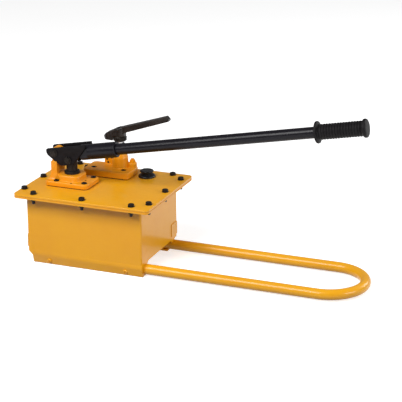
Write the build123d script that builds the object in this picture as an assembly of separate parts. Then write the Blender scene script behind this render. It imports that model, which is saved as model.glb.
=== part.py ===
"""Hydraulic hand pump with a steel reservoir, lever yoke, 4-way valve block and U-shaped foot frame.

Millimetres, +Z up. The model is drawn about the middle of the reservoir, with the ground at z = 0,
and every piece is then moved along X so that the origin is the middle of the whole pump's footprint.
"""
import math
import os

from build123d import *

# ---------------------------------------------------------------- driving dimensions
# reservoir and its lid
tank_length = 300.0          # along X, outside
tank_width = 224.0           # along Y, outside
tank_wall = 2.5
tank_skirt = 7.0             # wall below the floor plate
tank_floor = 3.0
tank_corner_r = 5.0
flange_thick = 3.0
lid_gasket_thick = 2.0
lid_thick = 5.0
lid_top_z = 183.0
lid_overhang_rear = 19.2     # past the reservoir at the -X end
lid_overhang_loop = 30.8     # past it at the +X end, over the foot frame
lid_overhang_side = 32.0     # past it at both long sides
lid_corner_r = 12.0
end_bolt_pitch = 100.0       # between lid bolts along the short sides
side_bolt_pitch = 127.0      # between lid bolts along the long sides

# fasteners
m8_r, m8_hole_r, m8_flats, m8_head = 4.0, 4.5, 13.0, 5.3
m8_nut, m8_washer_r, m8_washer = 6.5, 8.0, 1.6
bolt_end = 8.0  # thread showing below each nut
socket_head_r, socket_head, socket_hex = 6.5, 8.0, 6.0
button_r, button_head, button_hex = 5.5, 3.3, 4.0
m6_r, m6_hole_r = 3.0, 3.3
oil_plug_r, oil_plug_sink, oil_plug_depth = 2.6, 0.2, 3.6

# foot frame
tube_od = 25.4
tube_wall = 2.5
loop_reach = 512.0           # from the reservoir's end to the centreline of the loop's far end
frame_gap = 7.7              # between each arm and the upright strip of its rail
foot_gap = 2.6               # between the arms and the lower edge of the reservoir walls
rail_sheet = 3.0
rail_upright = 10.0          # the rail leans inward below this strip
rail_lean = 5.5
rail_lip = 30.0              # width of the lip under the tube
rail_inset = 11.0
rail_screw_start, rail_screw_end = 56.0, 43.0    # from the reservoir's two ends
leg_fillet = 12.0
tab_width, tab_low_z, tab_high_z, tab_sheet = 36.0, 39.0, 72.0, 1.5

# pump block with its lever post
pump_setback, pump_y = 33.6, -23.0   # the block's end from the lid bolts, and the pump's axis
block_gasket = 1.5
gasket_inset = 1.5
block_corner_r = 12.0
pump_base_past = 19.0        # base past the post, at that end
pump_base_h = 12.0
pump_boss, pump_boss_h, pump_boss_r, pump_boss_draft = 62.0, 14.5, 18.0, 4.0
pump_screw_rear, pump_screw_fore = 28.0, 44.0    # the two pairs of screws, from the pump's axis
pump_screw_side, pump_screw_sink, pump_screw_narrow = 7.0, 2.5, 3.0
post_thick = 16.5
eye_wall = 5.0               # round the fulcrum pin
post_shoulder, yoke_gap = 1.0, 1.0   # the post past the plates, and each plate from the eye

# lever linkage, in the plane of the handle
handle_pitch = 10.8          # degrees above level, with the plunger bottomed
handle_top = 45.0            # degrees of lift above that
fulcrum_height = 79.0        # above the lid
arm_reach, arm_drop = 38.0, 14.0     # fulcrum to plunger pin
fulcrum_pin_r, plunger_pin_r = 7.0, 6.0
plate_thick, plate_gap_spare = 6.0, 1.5     # and the plunger's clearance from each plate
plate_past_pin = 49.0        # along the handle, past the plunger pin
plate_tip, plate_crown, plate_belly = 19.0, 12.5, 33.0
axis_drop = 8.9              # handle centreline below the fulcrum
socket_wall, tongue_length, tube_step, tube_grip = 5.55, 22.0, 7.0, 67.0
handle_od, handle_wall = 26.9, 2.6
grip_end, grip_length = 781.0, 120.0
grip_wall, grip_guard_rim, grip_cap_rim = 4.55, 7.5, 3.5
grip_guard, grip_cap, grip_floor = 6.0, 9.0, 5.0
grip_ribs, grip_rib_depth = 15, 1.5
pin_past, clip_inset, clip_thick, clip_rim = 4.5, 3.2, 1.2, 3.0

# plunger, barrel and check valves
plunger_r, nose_r = 13.5, 7.0
barrel_wall, barrel_thread = 8.5, 12.0
nose_length, nose_spare = 46.0, 9.0
strainer_height = 9.0        # foot valve above the reservoir's floor
gland_rim, gland_head, gland_tail = 5.5, 6.5, 9.0
seal_width, wiper_width, wiper_h = 4.5, 2.5, 3.0
foot_valve_h, foot_valve_inset = 14.0, 2.0
ball_r, ball_play, spring_wire = 4.5, 0.6, 1.0
oil_way_r = 2.5
strainer_wall = 1.5
pipe_r, pipe_wall, pipe_bend = 4.0, 1.5, 18.0
return_r = 6.0
check_body_r, check_body_l = 6.8, 34.0

# valve block, spool and lever
valve_dx = 53.0              # from the pump's axis
valve_base_l, valve_base_w, valve_base_h = 120.0, 72.0, 16.0
bolt_clearance = 2.0         # between the valve block and the lid's washers
spool_dx, spool_dy = 22.5, 12.0      # from the middle of the block's base
tower_r, tower_top_r, tower_shoulder_h, tower_top_h = 20.0, 16.0, 43.0, 55.0
spool_r, stem_r, stem_into_lever = 10.0, 7.0, 12.0
stem_seal_h, bonnet_spigot = 5.5, 6.5
bonnet_flats, bonnet_hex, bonnet_neck_h, bonnet_neck = 30.0, 10.0, 24.0, 5.0
collar_r, collar_h, collar_gap, collar_flutes = 17.0, 13.0, 6.0, 24
lever_hub_r, lever_heel_r, lever_heel, lever_reach = 16.0, 13.0, 29.0, 125.0
lever_tip_r, lever_root, lever_rise, lever_deep = 8.0, 11.0, 62.0, 20.0
lever_swing = 35.0           # degrees each side of neutral
valve_screw_dx, valve_screw_dy = 40.0, -11.0     # the two screws along the block's front edge
port_head_l, port_head_w, port_head_h = 55.0, 18.0, 39.0
port_head_shift = 8.0        # right edge of the port head past the spool
port_r, port_depth, port_pitch = 7.3, 13.0, 28.0     # 3/8 NPT tappings, side by side
gauge_r, gauge_depth, gauge_up, gauge_side = 5.4, 12.0, 8.0, 4.0
pressure_inset, return_dx, return_dy = 16.0, 14.0, 18.0
relief_dx, relief_dy, relief_boss_r, relief_boss_h = 29.5, 8.0, 11.0, 30.0
relief_screw_r, relief_bore = 5.0, 26.0
relief_ball_r = 3.5

# filler and drain
filler_dx, filler_inset = 94.0, 35.0     # from the valve block, and from the lid bolts of the long side
neck_flange_r, neck_flange, neck_r, neck_bore_r, neck_below = 21.5, 7.0, 16.0, 13.5, 8.0
cap_r, cap_height, cap_pitch, cap_turns, cap_flutes = 17.0, 9.0, 2.0, 3, 20
cap_seal_h, cap_spigot, cap_spigot_gap = 1.5, 8.0, 5.5
basket_depth, basket_wall, basket_hole_r = 45.0, 1.0, 1.8
drain_height, drain_r, drain_boss_r, drain_boss = 14.0, 8.0, 14.0, 4.0
drain_seal_h, drain_flange, drain_flats, drain_head = 1.5, 2.0, 22.0, 8.0

# clearances
running = 0.03               # radial, where one piece turns or slides in another
loose = 0.3                  # between faces that pass each other
free = 0.5                   # round pipes through the lid
head_gap = 0.8               # round socket heads in their pockets

# ---------------------------------------------------------------- derived places
tube_r = tube_od / 2
tube_z = rail_sheet + tube_r
tank_foot_z = tube_z + tube_r + foot_gap
rail_bend_z = tank_foot_z - rail_upright
frame_half_width = tank_width / 2 - rail_sheet - frame_gap - tube_r
frame_start_x = rail_inset - tank_length / 2
rail_screws_x = (rail_screw_start - tank_length / 2, tank_length / 2 - rail_screw_end)
loop_end_x = tank_length / 2 + loop_reach
flange_z = lid_top_z - lid_thick - lid_gasket_thick - flange_thick
floor_z = tank_foot_z + tank_skirt
lid_length = tank_length + lid_overhang_rear + lid_overhang_loop
lid_width = tank_width + 2 * lid_overhang_side
lid_x = (lid_overhang_loop - lid_overhang_rear) / 2
end_bolts_x = (-tank_length / 2 - lid_overhang_rear / 2, tank_length / 2 + lid_overhang_loop / 2)
side_bolts_y = tank_width / 2 + lid_overhang_side / 2
plate_gap = 2 * (plunger_r + plate_gap_spare)
eye_r, eye_width = fulcrum_pin_r + eye_wall, plate_gap - 2 * yoke_gap
post_width = plate_gap + 2 * (plate_thick + post_shoulder)
pump_base_l = 2 * (arm_reach + pump_base_past)
pump_screw_y = post_width / 2 + pump_screw_side
pump_base_w = 2 * (pump_screw_y + 10.0)
pump_x = end_bolts_x[0] + pump_setback + pump_base_l / 2
valve_x = pump_x + valve_dx
filler_x = valve_x + filler_dx
socket_od, grip_od = handle_od + 2 * socket_wall, handle_od + 2 * grip_wall
plate_end = arm_reach + plate_past_pin
socket_tongue, handle_start = plate_end - tongue_length, plate_end + tube_step
socket_end = handle_start + tube_grip
grip_start = grip_end - grip_length
gland_r, barrel_r = plunger_r + gland_rim, plunger_r + barrel_wall
foot_valve_r = barrel_r - foot_valve_inset
loop_centre_x = loop_end_x - frame_half_width
rail_lean_angle = math.atan2(rail_lean, rail_bend_z)
block_z = lid_top_z + block_gasket
pump_top_z = block_z + pump_base_h + pump_boss_h
pump_seat_z = block_z + pump_base_h - socket_head + pump_screw_sink
fulcrum_x = pump_x - arm_reach
fulcrum_z = lid_top_z + fulcrum_height
plunger_pin_z = fulcrum_z - arm_drop
pitch = math.radians(handle_pitch)
lift = math.radians(handle_top)
pin_radius = math.hypot(arm_reach, arm_drop)
pin_rest = -math.atan2(arm_drop, arm_reach)
plunger_stroke = pin_radius * (math.sin(pin_rest + lift) - math.sin(pin_rest))
plunger_ratio = plunger_stroke / lift          # mm of stroke per radian of handle
barrel_top_z = block_z + barrel_thread
barrel_foot_z = floor_z + tank_floor + strainer_height + foot_valve_h
barrel_step_z = barrel_foot_z + nose_length + nose_spare
valve_y = side_bolts_y - m8_washer_r - bolt_clearance - valve_base_w / 2
valve_top_z = block_z + valve_base_h
spool_x, spool_y = valve_x + spool_dx, valve_y + spool_dy
tower_shoulder_z, tower_top_z = lid_top_z + tower_shoulder_h, lid_top_z + tower_top_h
bonnet_top_z = tower_top_z + bonnet_neck_h
collar_low_z = bonnet_top_z + collar_gap
lever_seat_z = collar_low_z + collar_h
port_head_top_z = lid_top_z + port_head_h
relief_x, relief_y = spool_x + relief_dx, spool_y + relief_dy
relief_boss_z = lid_top_z + relief_boss_h
filler_y = side_bolts_y - filler_inset
frame_end_x = loop_end_x + tube_r
grip_tip_x = fulcrum_x + grip_end * math.cos(pitch) + axis_drop * math.sin(pitch)
origin_x = (max(frame_end_x, grip_tip_x) - tank_length / 2 - lid_overhang_rear) / 2
delivery_z = barrel_foot_z - foot_valve_h / 2
pipe_y = valve_y - valve_base_w / 2 + pressure_inset
port_head_x = spool_x + port_head_shift - port_head_l / 2
port_head_y = valve_y + (valve_base_w - port_head_w) / 2
port_z = (valve_top_z + port_head_top_z) / 2 + 1.0
return_x, return_y = valve_x + return_dx, valve_y - return_dy
drain_z = floor_z + drain_height
drain_face_x = -tank_length / 2 - drain_boss


# ---------------------------------------------------------------- small shared shapes
def at(x, y, z):
    return Pos(x, y, z)


def plate(length, width, height, corner, x=0.0, y=0.0, z=0.0, draft=0.0):
    """Rounded rectangular slab standing on z."""
    sketch = RectangleRounded(length, width, corner) if corner else Rectangle(length, width)
    return at(x, y, z) * extrude(sketch, amount=height, taper=draft)


def rod(radius, z_low, z_high, x=0.0, y=0.0):
    """Upright cylinder between two heights."""
    return at(x, y, z_low) * extrude(Circle(radius), amount=z_high - z_low)


def ring(outer, inner, z_low, z_high, x=0.0, y=0.0):
    return rod(outer, z_low, z_high, x, y) - rod(inner, z_low - 1, z_high + 1, x, y)


def cross_rod(radius, y_low, y_high, x, z):
    """Cylinder lying along Y."""
    return at(x, y_low, z) * Rot(-90, 0, 0) * extrude(Circle(radius), amount=y_high - y_low)


def hexagon(flats, height):
    return extrude(RegularPolygon(flats / math.sqrt(3), 6), amount=height)


def socket_screw(radius, length):
    """Socket head cap screw, head up, seated at z = 0."""
    head = extrude(Circle(socket_head_r), amount=socket_head)
    head = chamfer(head.edges().group_by(Axis.Z)[-1], 0.8)
    head -= at(0, 0, socket_head / 2) * hexagon(socket_hex, socket_head)
    return head + at(0, 0, -length) * extrude(Circle(radius), amount=length)


def spring(outer_r, z_low, z_high, turns):
    """Closed-end coil spring as a stack of rings joined into one helix."""
    mean_r = outer_r - spring_wire / 2
    height = z_high - z_low - spring_wire
    path = Helix(pitch=height / turns, height=height, radius=mean_r)
    section = Plane(origin=path @ 0, z_dir=path % 0) * Circle(spring_wire / 2)
    return at(0, 0, z_low + spring_wire / 2) * sweep(section, path=path)


def along_handle(u, v=0.0):
    """Point in the handle plane, u along the handle and v square to it, from the fulcrum."""
    x = fulcrum_x + u * math.cos(pitch) - v * math.sin(pitch)
    z = fulcrum_z + u * math.sin(pitch) + v * math.cos(pitch)
    return x, z


def handle_rod(radius, u_low, u_high):
    """Cylinder on the handle's centreline."""
    x, z = along_handle(u_low, -axis_drop)
    return at(x, pump_y, z) * Rot(0, 90 - handle_pitch, 0) * extrude(Circle(radius), amount=u_high - u_low)


def save(name, *solids):
    """Move a node to the pump's own origin and write it."""
    moved = [at(-origin_x, 0, 0) * solid for solid in solids]
    export_step(moved[0] if len(moved) == 1 else Compound(children=moved), f"parts/{name}.step")


# ---------------------------------------------------------------- reservoir
def lid_bolt_points():
    points = []
    for x in end_bolts_x:
        points += [(x, y) for y in (-end_bolt_pitch, 0.0, end_bolt_pitch)]
    for y in (-side_bolts_y, side_bolts_y):
        points += [(lid_x + x, y) for x in (-side_bolt_pitch, 0.0, side_bolt_pitch)]
    return points


def bolt_holes(z_low, height):
    return [at(x, y, z_low) * extrude(Circle(m8_hole_r), amount=height) for x, y in lid_bolt_points()]


def rail_face_y(z):
    """Outer face of the foot rail at a height, measured outward from the middle plane."""
    return tank_width / 2 - max(0.0, rail_bend_z - z) * math.tan(rail_lean_angle)


def tank_leg(side):
    """End-wall leg that drops from the wall onto the frame tube, on one side."""
    inner = frame_half_width - tube_r + 2.0
    outline = [(inner - leg_fillet, tank_foot_z), (inner, tank_foot_z - leg_fillet)]
    outline += [(inner, tube_z), (frame_half_width, tube_z)]
    if side < 0:
        low = rail_face_y(rail_sheet) - rail_sheet - loose
        outline += [(frame_half_width, rail_sheet), (low, rail_sheet)]
        outline += [(rail_face_y(rail_bend_z) - rail_sheet - loose, rail_bend_z)]
        outline += [(tank_width / 2 - rail_sheet - loose, tank_foot_z)]
    else:
        outline += [(frame_half_width + 3.0, tube_z + tube_r - 1.0), (frame_half_width + 10.0, tank_foot_z)]
    sketch = make_face(Polyline(*outline, close=True))
    scoop = Pos(inner - leg_fillet, tank_foot_z - leg_fillet) * Circle(leg_fillet)
    sketch = sketch - scoop - Pos(frame_half_width, tube_z) * Circle(tube_r)
    mirrored = sketch if side > 0 else mirror(sketch, Plane.YZ)
    face_plane = Plane(origin=(tank_length / 2 - tank_wall, 0, 0), x_dir=(0, 1, 0), z_dir=(1, 0, 0))
    return extrude(face_plane * mirrored, amount=tank_wall)


def make_tank():
    height = flange_z + flange_thick - tank_foot_z
    shell = plate(tank_length, tank_width, height, tank_corner_r, z=tank_foot_z)
    shell -= plate(tank_length - 2 * tank_wall, tank_width - 2 * tank_wall, height,
                   tank_corner_r - tank_wall, z=floor_z + tank_floor)
    shell -= plate(tank_length - 2 * tank_wall, tank_width - 2 * tank_wall, tank_skirt,
                   tank_corner_r - tank_wall, z=tank_foot_z)
    flange = plate(lid_length, lid_width, flange_thick, lid_corner_r, x=lid_x, z=flange_z)
    flange -= plate(tank_length - 2 * tank_wall, tank_width - 2 * tank_wall, flange_thick,
                    tank_corner_r - tank_wall, z=flange_z)
    tank = shell + flange + tank_leg(-1) + tank_leg(1)
    boss = at(drain_face_x, 0, drain_z) * Rot(0, 90, 0) * extrude(Circle(drain_boss_r), amount=drain_boss + 1)
    hole = at(drain_face_x - 1, 0, drain_z) * Rot(0, 90, 0) * extrude(Circle(drain_r), amount=drain_boss + 8)
    return (tank + boss) - hole - bolt_holes(flange_z - 1, flange_thick + 2)


def rail_section():
    """Rail outline in the YZ plane: upright strip, leaning strip and the lip under the tube."""
    outer = [(tank_width / 2, tank_foot_z), (tank_width / 2, rail_bend_z), (rail_face_y(0), 0)]
    lip_y = rail_face_y(0) - rail_lip
    inner = [(lip_y, 0), (lip_y, rail_sheet), (rail_face_y(rail_sheet) - rail_sheet, rail_sheet)]
    inner += [(tank_width / 2 - rail_sheet, rail_bend_z), (tank_width / 2 - rail_sheet, tank_foot_z)]
    return make_face(Polyline(*(outer + inner), close=True))


def make_rail():
    """Rail for the -Y side; the other one is the same part turned end for end."""
    side_plane = Plane(origin=(-tank_length / 2, 0, 0), x_dir=(0, -1, 0), z_dir=(-1, 0, 0))
    outline = side_plane * rail_section()
    rail = extrude(outline, amount=tank_length, dir=(1, 0, 0))
    corner = Polyline((-tank_length / 2 - 1, -1), (-tank_length / 2 + rail_inset, -1),
                      (-tank_length / 2 + rail_inset, rail_bend_z),
                      (-tank_length / 2 + 1, tank_foot_z), (-tank_length / 2 - 1, tank_foot_z), close=True)
    front = Plane(origin=(0, 0, 0), x_dir=(1, 0, 0), z_dir=(0, -1, 0))
    rail -= extrude(front * make_face(corner), amount=tank_width)
    for place in rail_screw_places():
        rail -= place * at(0, 0, -10) * extrude(Circle(m6_hole_r), amount=20)
    return rail


def rail_screw_places():
    """Screw seats on the rail's leaning face, pointing outward, aimed through the tube's axis."""
    reach = (rail_face_y(0) + tube_z * math.tan(rail_lean_angle) - frame_half_width)
    distance = reach * math.cos(rail_lean_angle)
    places = []
    for x in rail_screws_x:
        centre = at(x, -frame_half_width, tube_z) * Rot(90 + math.degrees(rail_lean_angle), 0, 0)
        places.append(centre * at(0, 0, distance))
    return places


def rail_screw():
    head = extrude(Circle(button_r), amount=button_head)
    head = fillet(head.edges().group_by(Axis.Z)[-1], 2.6)
    head -= at(0, 0, button_head / 2) * hexagon(button_hex, button_head)
    return head + at(0, 0, -16) * extrude(Circle(m6_r), amount=16)


def rail_bush(place):
    bush = place * at(0, 0, -20) * extrude(Circle(8.0), amount=20 - rail_sheet)
    tube_core = at(frame_start_x - 20, -frame_half_width, tube_z) * Rot(0, 90, 0)
    bush -= tube_core * extrude(Circle(tube_r), amount=400)
    bush -= place * at(0, 0, -21) * extrude(Circle(m6_hole_r), amount=22)
    return bush.solids().sort_by(Axis.Y)[0]


def turned(solid):
    """The same piece turned end for end about the reservoir's middle."""
    return Rot(0, 0, 180) * solid


def make_frame_tube():
    path = Line((frame_start_x, -frame_half_width, tube_z), (loop_centre_x, -frame_half_width, tube_z))
    path += ThreePointArc((loop_centre_x, -frame_half_width, tube_z), (loop_end_x, 0, tube_z),
                          (loop_centre_x, frame_half_width, tube_z))
    path += Line((loop_centre_x, frame_half_width, tube_z), (frame_start_x, frame_half_width, tube_z))
    section = Plane(origin=(frame_start_x, -frame_half_width, tube_z), z_dir=(1, 0, 0))
    tube = sweep(section * (Circle(tube_r) - Circle(tube_r - tube_wall)), path=path)
    for place in rail_screw_places():
        hole = place * at(0, 0, -26) * extrude(Circle(m6_hole_r), amount=20)
        tube -= hole
        tube -= turned(hole)
    return tube


def frame_plug(side):
    plug = at(frame_start_x - 2, side * frame_half_width, tube_z) * Rot(0, 90, 0)
    head = extrude(Circle(tube_r - 0.3), amount=2)
    head = chamfer(head.edges().group_by(Axis.Z)[0], 0.8)
    return plug * (head + at(0, 0, 2) * extrude(Circle(tube_r - tube_wall), amount=14))


def end_tab():
    """Patch welded over the end wall's lower corner, above the rail's inset end."""
    tab = plate(tab_sheet, tab_width, tab_high_z - tab_low_z, 0,
                tank_length / 2 + tab_sheet / 2, tank_width / 2 - tank_corner_r - tab_width / 2 + 2, tab_low_z)
    return fillet(tab.edges().filter_by(Axis.X), 3.0)


def make_lid():
    lid = plate(lid_length, lid_width, lid_thick, lid_corner_r, lid_x, 0, lid_top_z - lid_thick)
    lid = fillet(lid.edges().group_by(Axis.Z)[-1], 1.2)
    low, tall = lid_top_z - lid_thick - 1, lid_thick + 2
    lid -= bolt_holes(low, tall)
    lid -= rod(barrel_r + free, low, low + tall, pump_x, pump_y)
    lid -= rod(pipe_r + free, low, low + tall, pump_x, pipe_y)
    lid -= rod(return_r + free, low, low + tall, return_x, return_y)
    lid -= rod(neck_r, low, low + tall, filler_x, filler_y)
    for x, y, *_ in pump_screw_points() + valve_screw_points():
        lid -= rod(m8_r, low, low + tall, x, y)
    return lid


def make_lid_gasket():
    low = lid_top_z - lid_thick - lid_gasket_thick
    seal = plate(lid_length - 2, lid_width - 2, lid_gasket_thick, lid_corner_r - 1, lid_x, 0, low)
    seal -= plate(tank_length - 2 * tank_wall, tank_width - 2 * tank_wall, lid_gasket_thick,
                  tank_corner_r - tank_wall, z=low)
    return seal - bolt_holes(low - 1, lid_gasket_thick + 2)


def lid_bolt(x, y):
    seat = lid_top_z + m8_washer
    head = hexagon(m8_flats, m8_head) & chamfer(
        extrude(Circle(m8_flats / math.sqrt(3)), amount=m8_head).edges().group_by(Axis.Z)[-1], 1.0)
    length = lid_thick + lid_gasket_thick + flange_thick + m8_washer + m8_nut + bolt_end
    return at(x, y, seat) * (head + at(0, 0, -length) * extrude(Circle(m8_r), amount=length))


def lid_washer(x, y):
    return ring(m8_washer_r, m8_r, lid_top_z, lid_top_z + m8_washer, x, y)


def lid_nut(x, y):
    nut = hexagon(m8_flats, m8_nut) & chamfer(
        extrude(Circle(m8_flats / math.sqrt(3)), amount=m8_nut).edges().group_by(Axis.Z)[0], 1.0)
    return at(x, y, flange_z - m8_nut) * (nut - extrude(Circle(m8_r), amount=m8_nut))


def make_drain_plug():
    face = at(drain_face_x - drain_seal_h, 0, drain_z) * Rot(0, -90, 0)
    head = hexagon(drain_flats, drain_head) + extrude(Circle(drain_boss_r), amount=drain_flange)
    depth = drain_seal_h + drain_boss + tank_wall + 4.0
    return face * (head + at(0, 0, -depth) * extrude(Circle(drain_r), amount=depth))


def make_drain_seal():
    washer = extrude(Circle(drain_boss_r - 1) - Circle(drain_r), amount=drain_seal_h)
    return at(drain_face_x, 0, drain_z) * Rot(0, -90, 0) * washer


# ---------------------------------------------------------------- pump block
def pump_screw_points():
    rear, fore = pump_x - pump_screw_rear, pump_x + pump_screw_fore
    wide, narrow = pump_screw_y, pump_screw_y - pump_screw_narrow
    return [(rear, pump_y - wide), (rear, pump_y + wide), (fore, pump_y - narrow), (fore, pump_y + narrow)]


def make_pump_block():
    base = plate(pump_base_l, pump_base_w, pump_base_h, block_corner_r, pump_x, pump_y, block_z)
    base = fillet(base.edges().group_by(Axis.Z)[-1], 4.0)
    boss = plate(pump_boss, pump_boss, pump_base_h + pump_boss_h, pump_boss_r, pump_x, pump_y, block_z,
                 pump_boss_draft)
    boss = fillet(boss.edges().group_by(Axis.Z)[-1], 3.0)
    foot_z = block_z + pump_base_h - 2
    foot = loft([at(fulcrum_x, pump_y, foot_z) * Rectangle(post_thick + 18, post_width + 10),
                 at(fulcrum_x, pump_y, foot_z + 8) * Rectangle(post_thick + 5, post_width + 3),
                 at(fulcrum_x, pump_y, foot_z + 20) * Rectangle(post_thick, post_width)])
    post_top = fulcrum_z - plate_edge_drop() - 1.0
    post = plate(post_thick, post_width, post_top - block_z, 2.0, fulcrum_x, pump_y, block_z)
    eye = plate(post_thick, eye_width, fulcrum_z - block_z, 2.0, fulcrum_x, pump_y, block_z)
    eye += cross_rod(eye_r, pump_y - eye_width / 2, pump_y + eye_width / 2, fulcrum_x, fulcrum_z)
    eye += plate(post_thick, eye_width, eye_r + 2, 0, fulcrum_x, pump_y, fulcrum_z)
    block = base + boss + foot + post + eye
    block -= cross_rod(fulcrum_pin_r + running, pump_y - 30, pump_y + 30, fulcrum_x, fulcrum_z)
    block -= rod(plunger_r + free, block_z - 1, pump_top_z + 1, pump_x, pump_y)
    block -= rod(barrel_r, block_z - 1, barrel_top_z, pump_x, pump_y)
    block -= rod(plunger_r + seal_width, barrel_top_z, pump_top_z + 1, pump_x, pump_y)
    for x, y in pump_screw_points():
        block -= rod(socket_head_r + head_gap, pump_seat_z, pump_top_z + 3, x, y)
        block -= rod(m8_hole_r, block_z - 1, pump_seat_z + 1, x, y)
    for place in pump_plug_places():
        block -= oil_plug_hole(place)
    return block


def pump_plug_places():
    """Blanking plugs over the drilled oil ways of the pump block."""
    top = block_z + pump_base_h
    return [at(pump_x + dx, pump_y + dy, top) for dx, dy in ((14.0, -35.0), (37.0, -3.0))]


def oil_plug_hole(place):
    return place * at(0, 0, -oil_plug_depth) * extrude(Circle(oil_plug_r), amount=oil_plug_depth + 1)


def oil_plug(place):
    """Small socket plug that fills its hole to just under the surface."""
    body = at(0, 0, -oil_plug_depth) * extrude(Circle(oil_plug_r), amount=oil_plug_depth - oil_plug_sink)
    return place * (body - at(0, 0, -oil_plug_depth / 2) * hexagon(2.5, oil_plug_depth))


def plate_edge_drop():
    """How far below the fulcrum the yoke plates reach over the post, through the whole lift."""
    low_edge = plate_outline()[1], plate_outline()[2]
    (ax, ay), (bx, by) = low_edge
    gap = abs((bx - ax) * ay - (by - ay) * ax) / math.hypot(bx - ax, by - ay)
    normal = math.atan2(-(bx - ax), by - ay)
    drops = []
    for step in range(10):
        angle = normal + pitch + lift * step / 9
        for x in (-post_thick / 2, post_thick / 2):
            drops.append((gap - x * math.cos(angle)) / -math.sin(angle))
    return max(drops)


def make_block_gasket(length, width, x, y, holes):
    gasket = plate(length - 2 * gasket_inset, width - 2 * gasket_inset, block_gasket,
                   block_corner_r - 1, x, y, lid_top_z)
    for radius, hole_x, hole_y in holes:
        gasket -= rod(radius, lid_top_z - 1, block_z + 1, hole_x, hole_y)
    return gasket


def make_gland_nut():
    nut = rod(gland_r, pump_top_z, pump_top_z + gland_head, pump_x, pump_y)
    nut = chamfer(nut.edges().group_by(Axis.Z)[-1], 1.2)
    top = pump_top_z + gland_head
    nut += rod(plunger_r + seal_width, pump_top_z - gland_tail, pump_top_z, pump_x, pump_y)
    nut -= rod(plunger_r + running, pump_top_z - gland_tail - 1, top + 1, pump_x, pump_y)
    spanner_r = (gland_r + plunger_r + wiper_width) / 2
    for turn in (45, 135, 225, 315):
        x = pump_x + spanner_r * math.cos(math.radians(turn))
        y = pump_y + spanner_r * math.sin(math.radians(turn))
        nut -= rod(1.0, top - wiper_h, top + 1, x, y)
    return nut - ring(plunger_r + wiper_width, plunger_r, top - wiper_h, top + 1, pump_x, pump_y)


def make_plunger():
    top = plunger_pin_z + 11.5
    step = barrel_step_z + 0.5
    body = rod(plunger_r, step, top, pump_x, pump_y)
    body = chamfer(body.edges().group_by(Axis.Z)[-1], 1.5)
    nose = rod(nose_r, step - nose_length, step + 1, pump_x, pump_y)
    body += chamfer(nose.edges().group_by(Axis.Z)[0], 1.0)
    swing = pin_radius - arm_reach
    left = -(arm_reach - pin_radius * math.cos(pin_rest + lift))
    half = plunger_pin_r + loose
    slot = [at(pump_x + dx, pump_y - 20, plunger_pin_z) for dx in (left, swing)]
    for place in slot:
        body -= place * Rot(-90, 0, 0) * extrude(Circle(half), amount=40)
    body -= at(pump_x + (left + swing) / 2, pump_y, plunger_pin_z) * Box(swing - left, 40, 2 * half)
    return body


def make_barrel():
    barrel = rod(barrel_r, barrel_foot_z, barrel_top_z, pump_x, pump_y)
    barrel = chamfer(barrel.edges().group_by(Axis.Z)[0], 1.5)
    barrel -= rod(plunger_r + running, barrel_step_z, barrel_top_z + 1, pump_x, pump_y)
    barrel -= rod(nose_r + running, barrel_foot_z + 6, barrel_step_z + 1, pump_x, pump_y)
    return barrel - rod(oil_way_r + 0.5, barrel_foot_z - 1, barrel_foot_z + 7, pump_x, pump_y)


def make_foot_valve():
    """Valve body under the barrel: suction seat below, side outlet to the delivery valve."""
    low = barrel_foot_z - foot_valve_h
    body = rod(foot_valve_r, low, barrel_foot_z, pump_x, pump_y)
    body -= rod(ball_r + ball_play, low + 3, barrel_foot_z + 1, pump_x, pump_y)
    body -= rod(ball_r - 2 * ball_play, low - 1, low + 4, pump_x, pump_y)
    return body - cross_rod(oil_way_r, pump_y, pump_y + foot_valve_r + 1, pump_x, delivery_z)


def make_delivery_body():
    start = delivery_start()
    body = cross_rod(check_body_r, start, start + check_body_l, pump_x, delivery_z)
    body -= rod(foot_valve_r, delivery_z - 20, delivery_z + 20, pump_x, pump_y)
    body -= cross_rod(oil_way_r, start - 1, start + 8, pump_x, delivery_z)
    body -= cross_rod(ball_r + ball_play, start + 7, start + check_body_l - 8, pump_x, delivery_z)
    return body - cross_rod(pipe_r, start + check_body_l - 9, start + check_body_l + 1, pump_x, delivery_z)


def delivery_start():
    return pump_y + foot_valve_r - 0.5


def make_pressure_pipe():
    start = delivery_start() + check_body_l - 8
    top = block_z + 10
    path = FilletPolyline((pump_x, start, delivery_z), (pump_x, pipe_y, delivery_z),
                          (pump_x, pipe_y, top), radius=pipe_bend)
    section = Plane(origin=(pump_x, start, delivery_z), z_dir=(0, 1, 0))
    return sweep(section * (Circle(pipe_r) - Circle(pipe_r - pipe_wall)), path=path)


def make_suction_strainer():
    low = floor_z + tank_floor + 1.5
    top = barrel_foot_z - foot_valve_h
    outer = foot_valve_r - foot_valve_inset
    cup = ring(outer, outer - strainer_wall, low, top, pump_x, pump_y)
    return cup + rod(outer, low, low + strainer_wall, pump_x, pump_y)


# ---------------------------------------------------------------- lever, yoke and handle
def plate_outline():
    """Yoke plate corners, along and square to the handle, from the fulcrum."""
    tip, crown, belly = -plate_tip, plate_crown, -plate_belly
    under_pin = arm_reach - 4.0
    return [(tip, crown), (tip, -1.5), (under_pin - 14.0, belly), (under_pin + 14.0, belly),
            (under_pin + 28.0, belly + 3.5), (plate_end, belly + 2.0), (plate_end, crown)]


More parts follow.
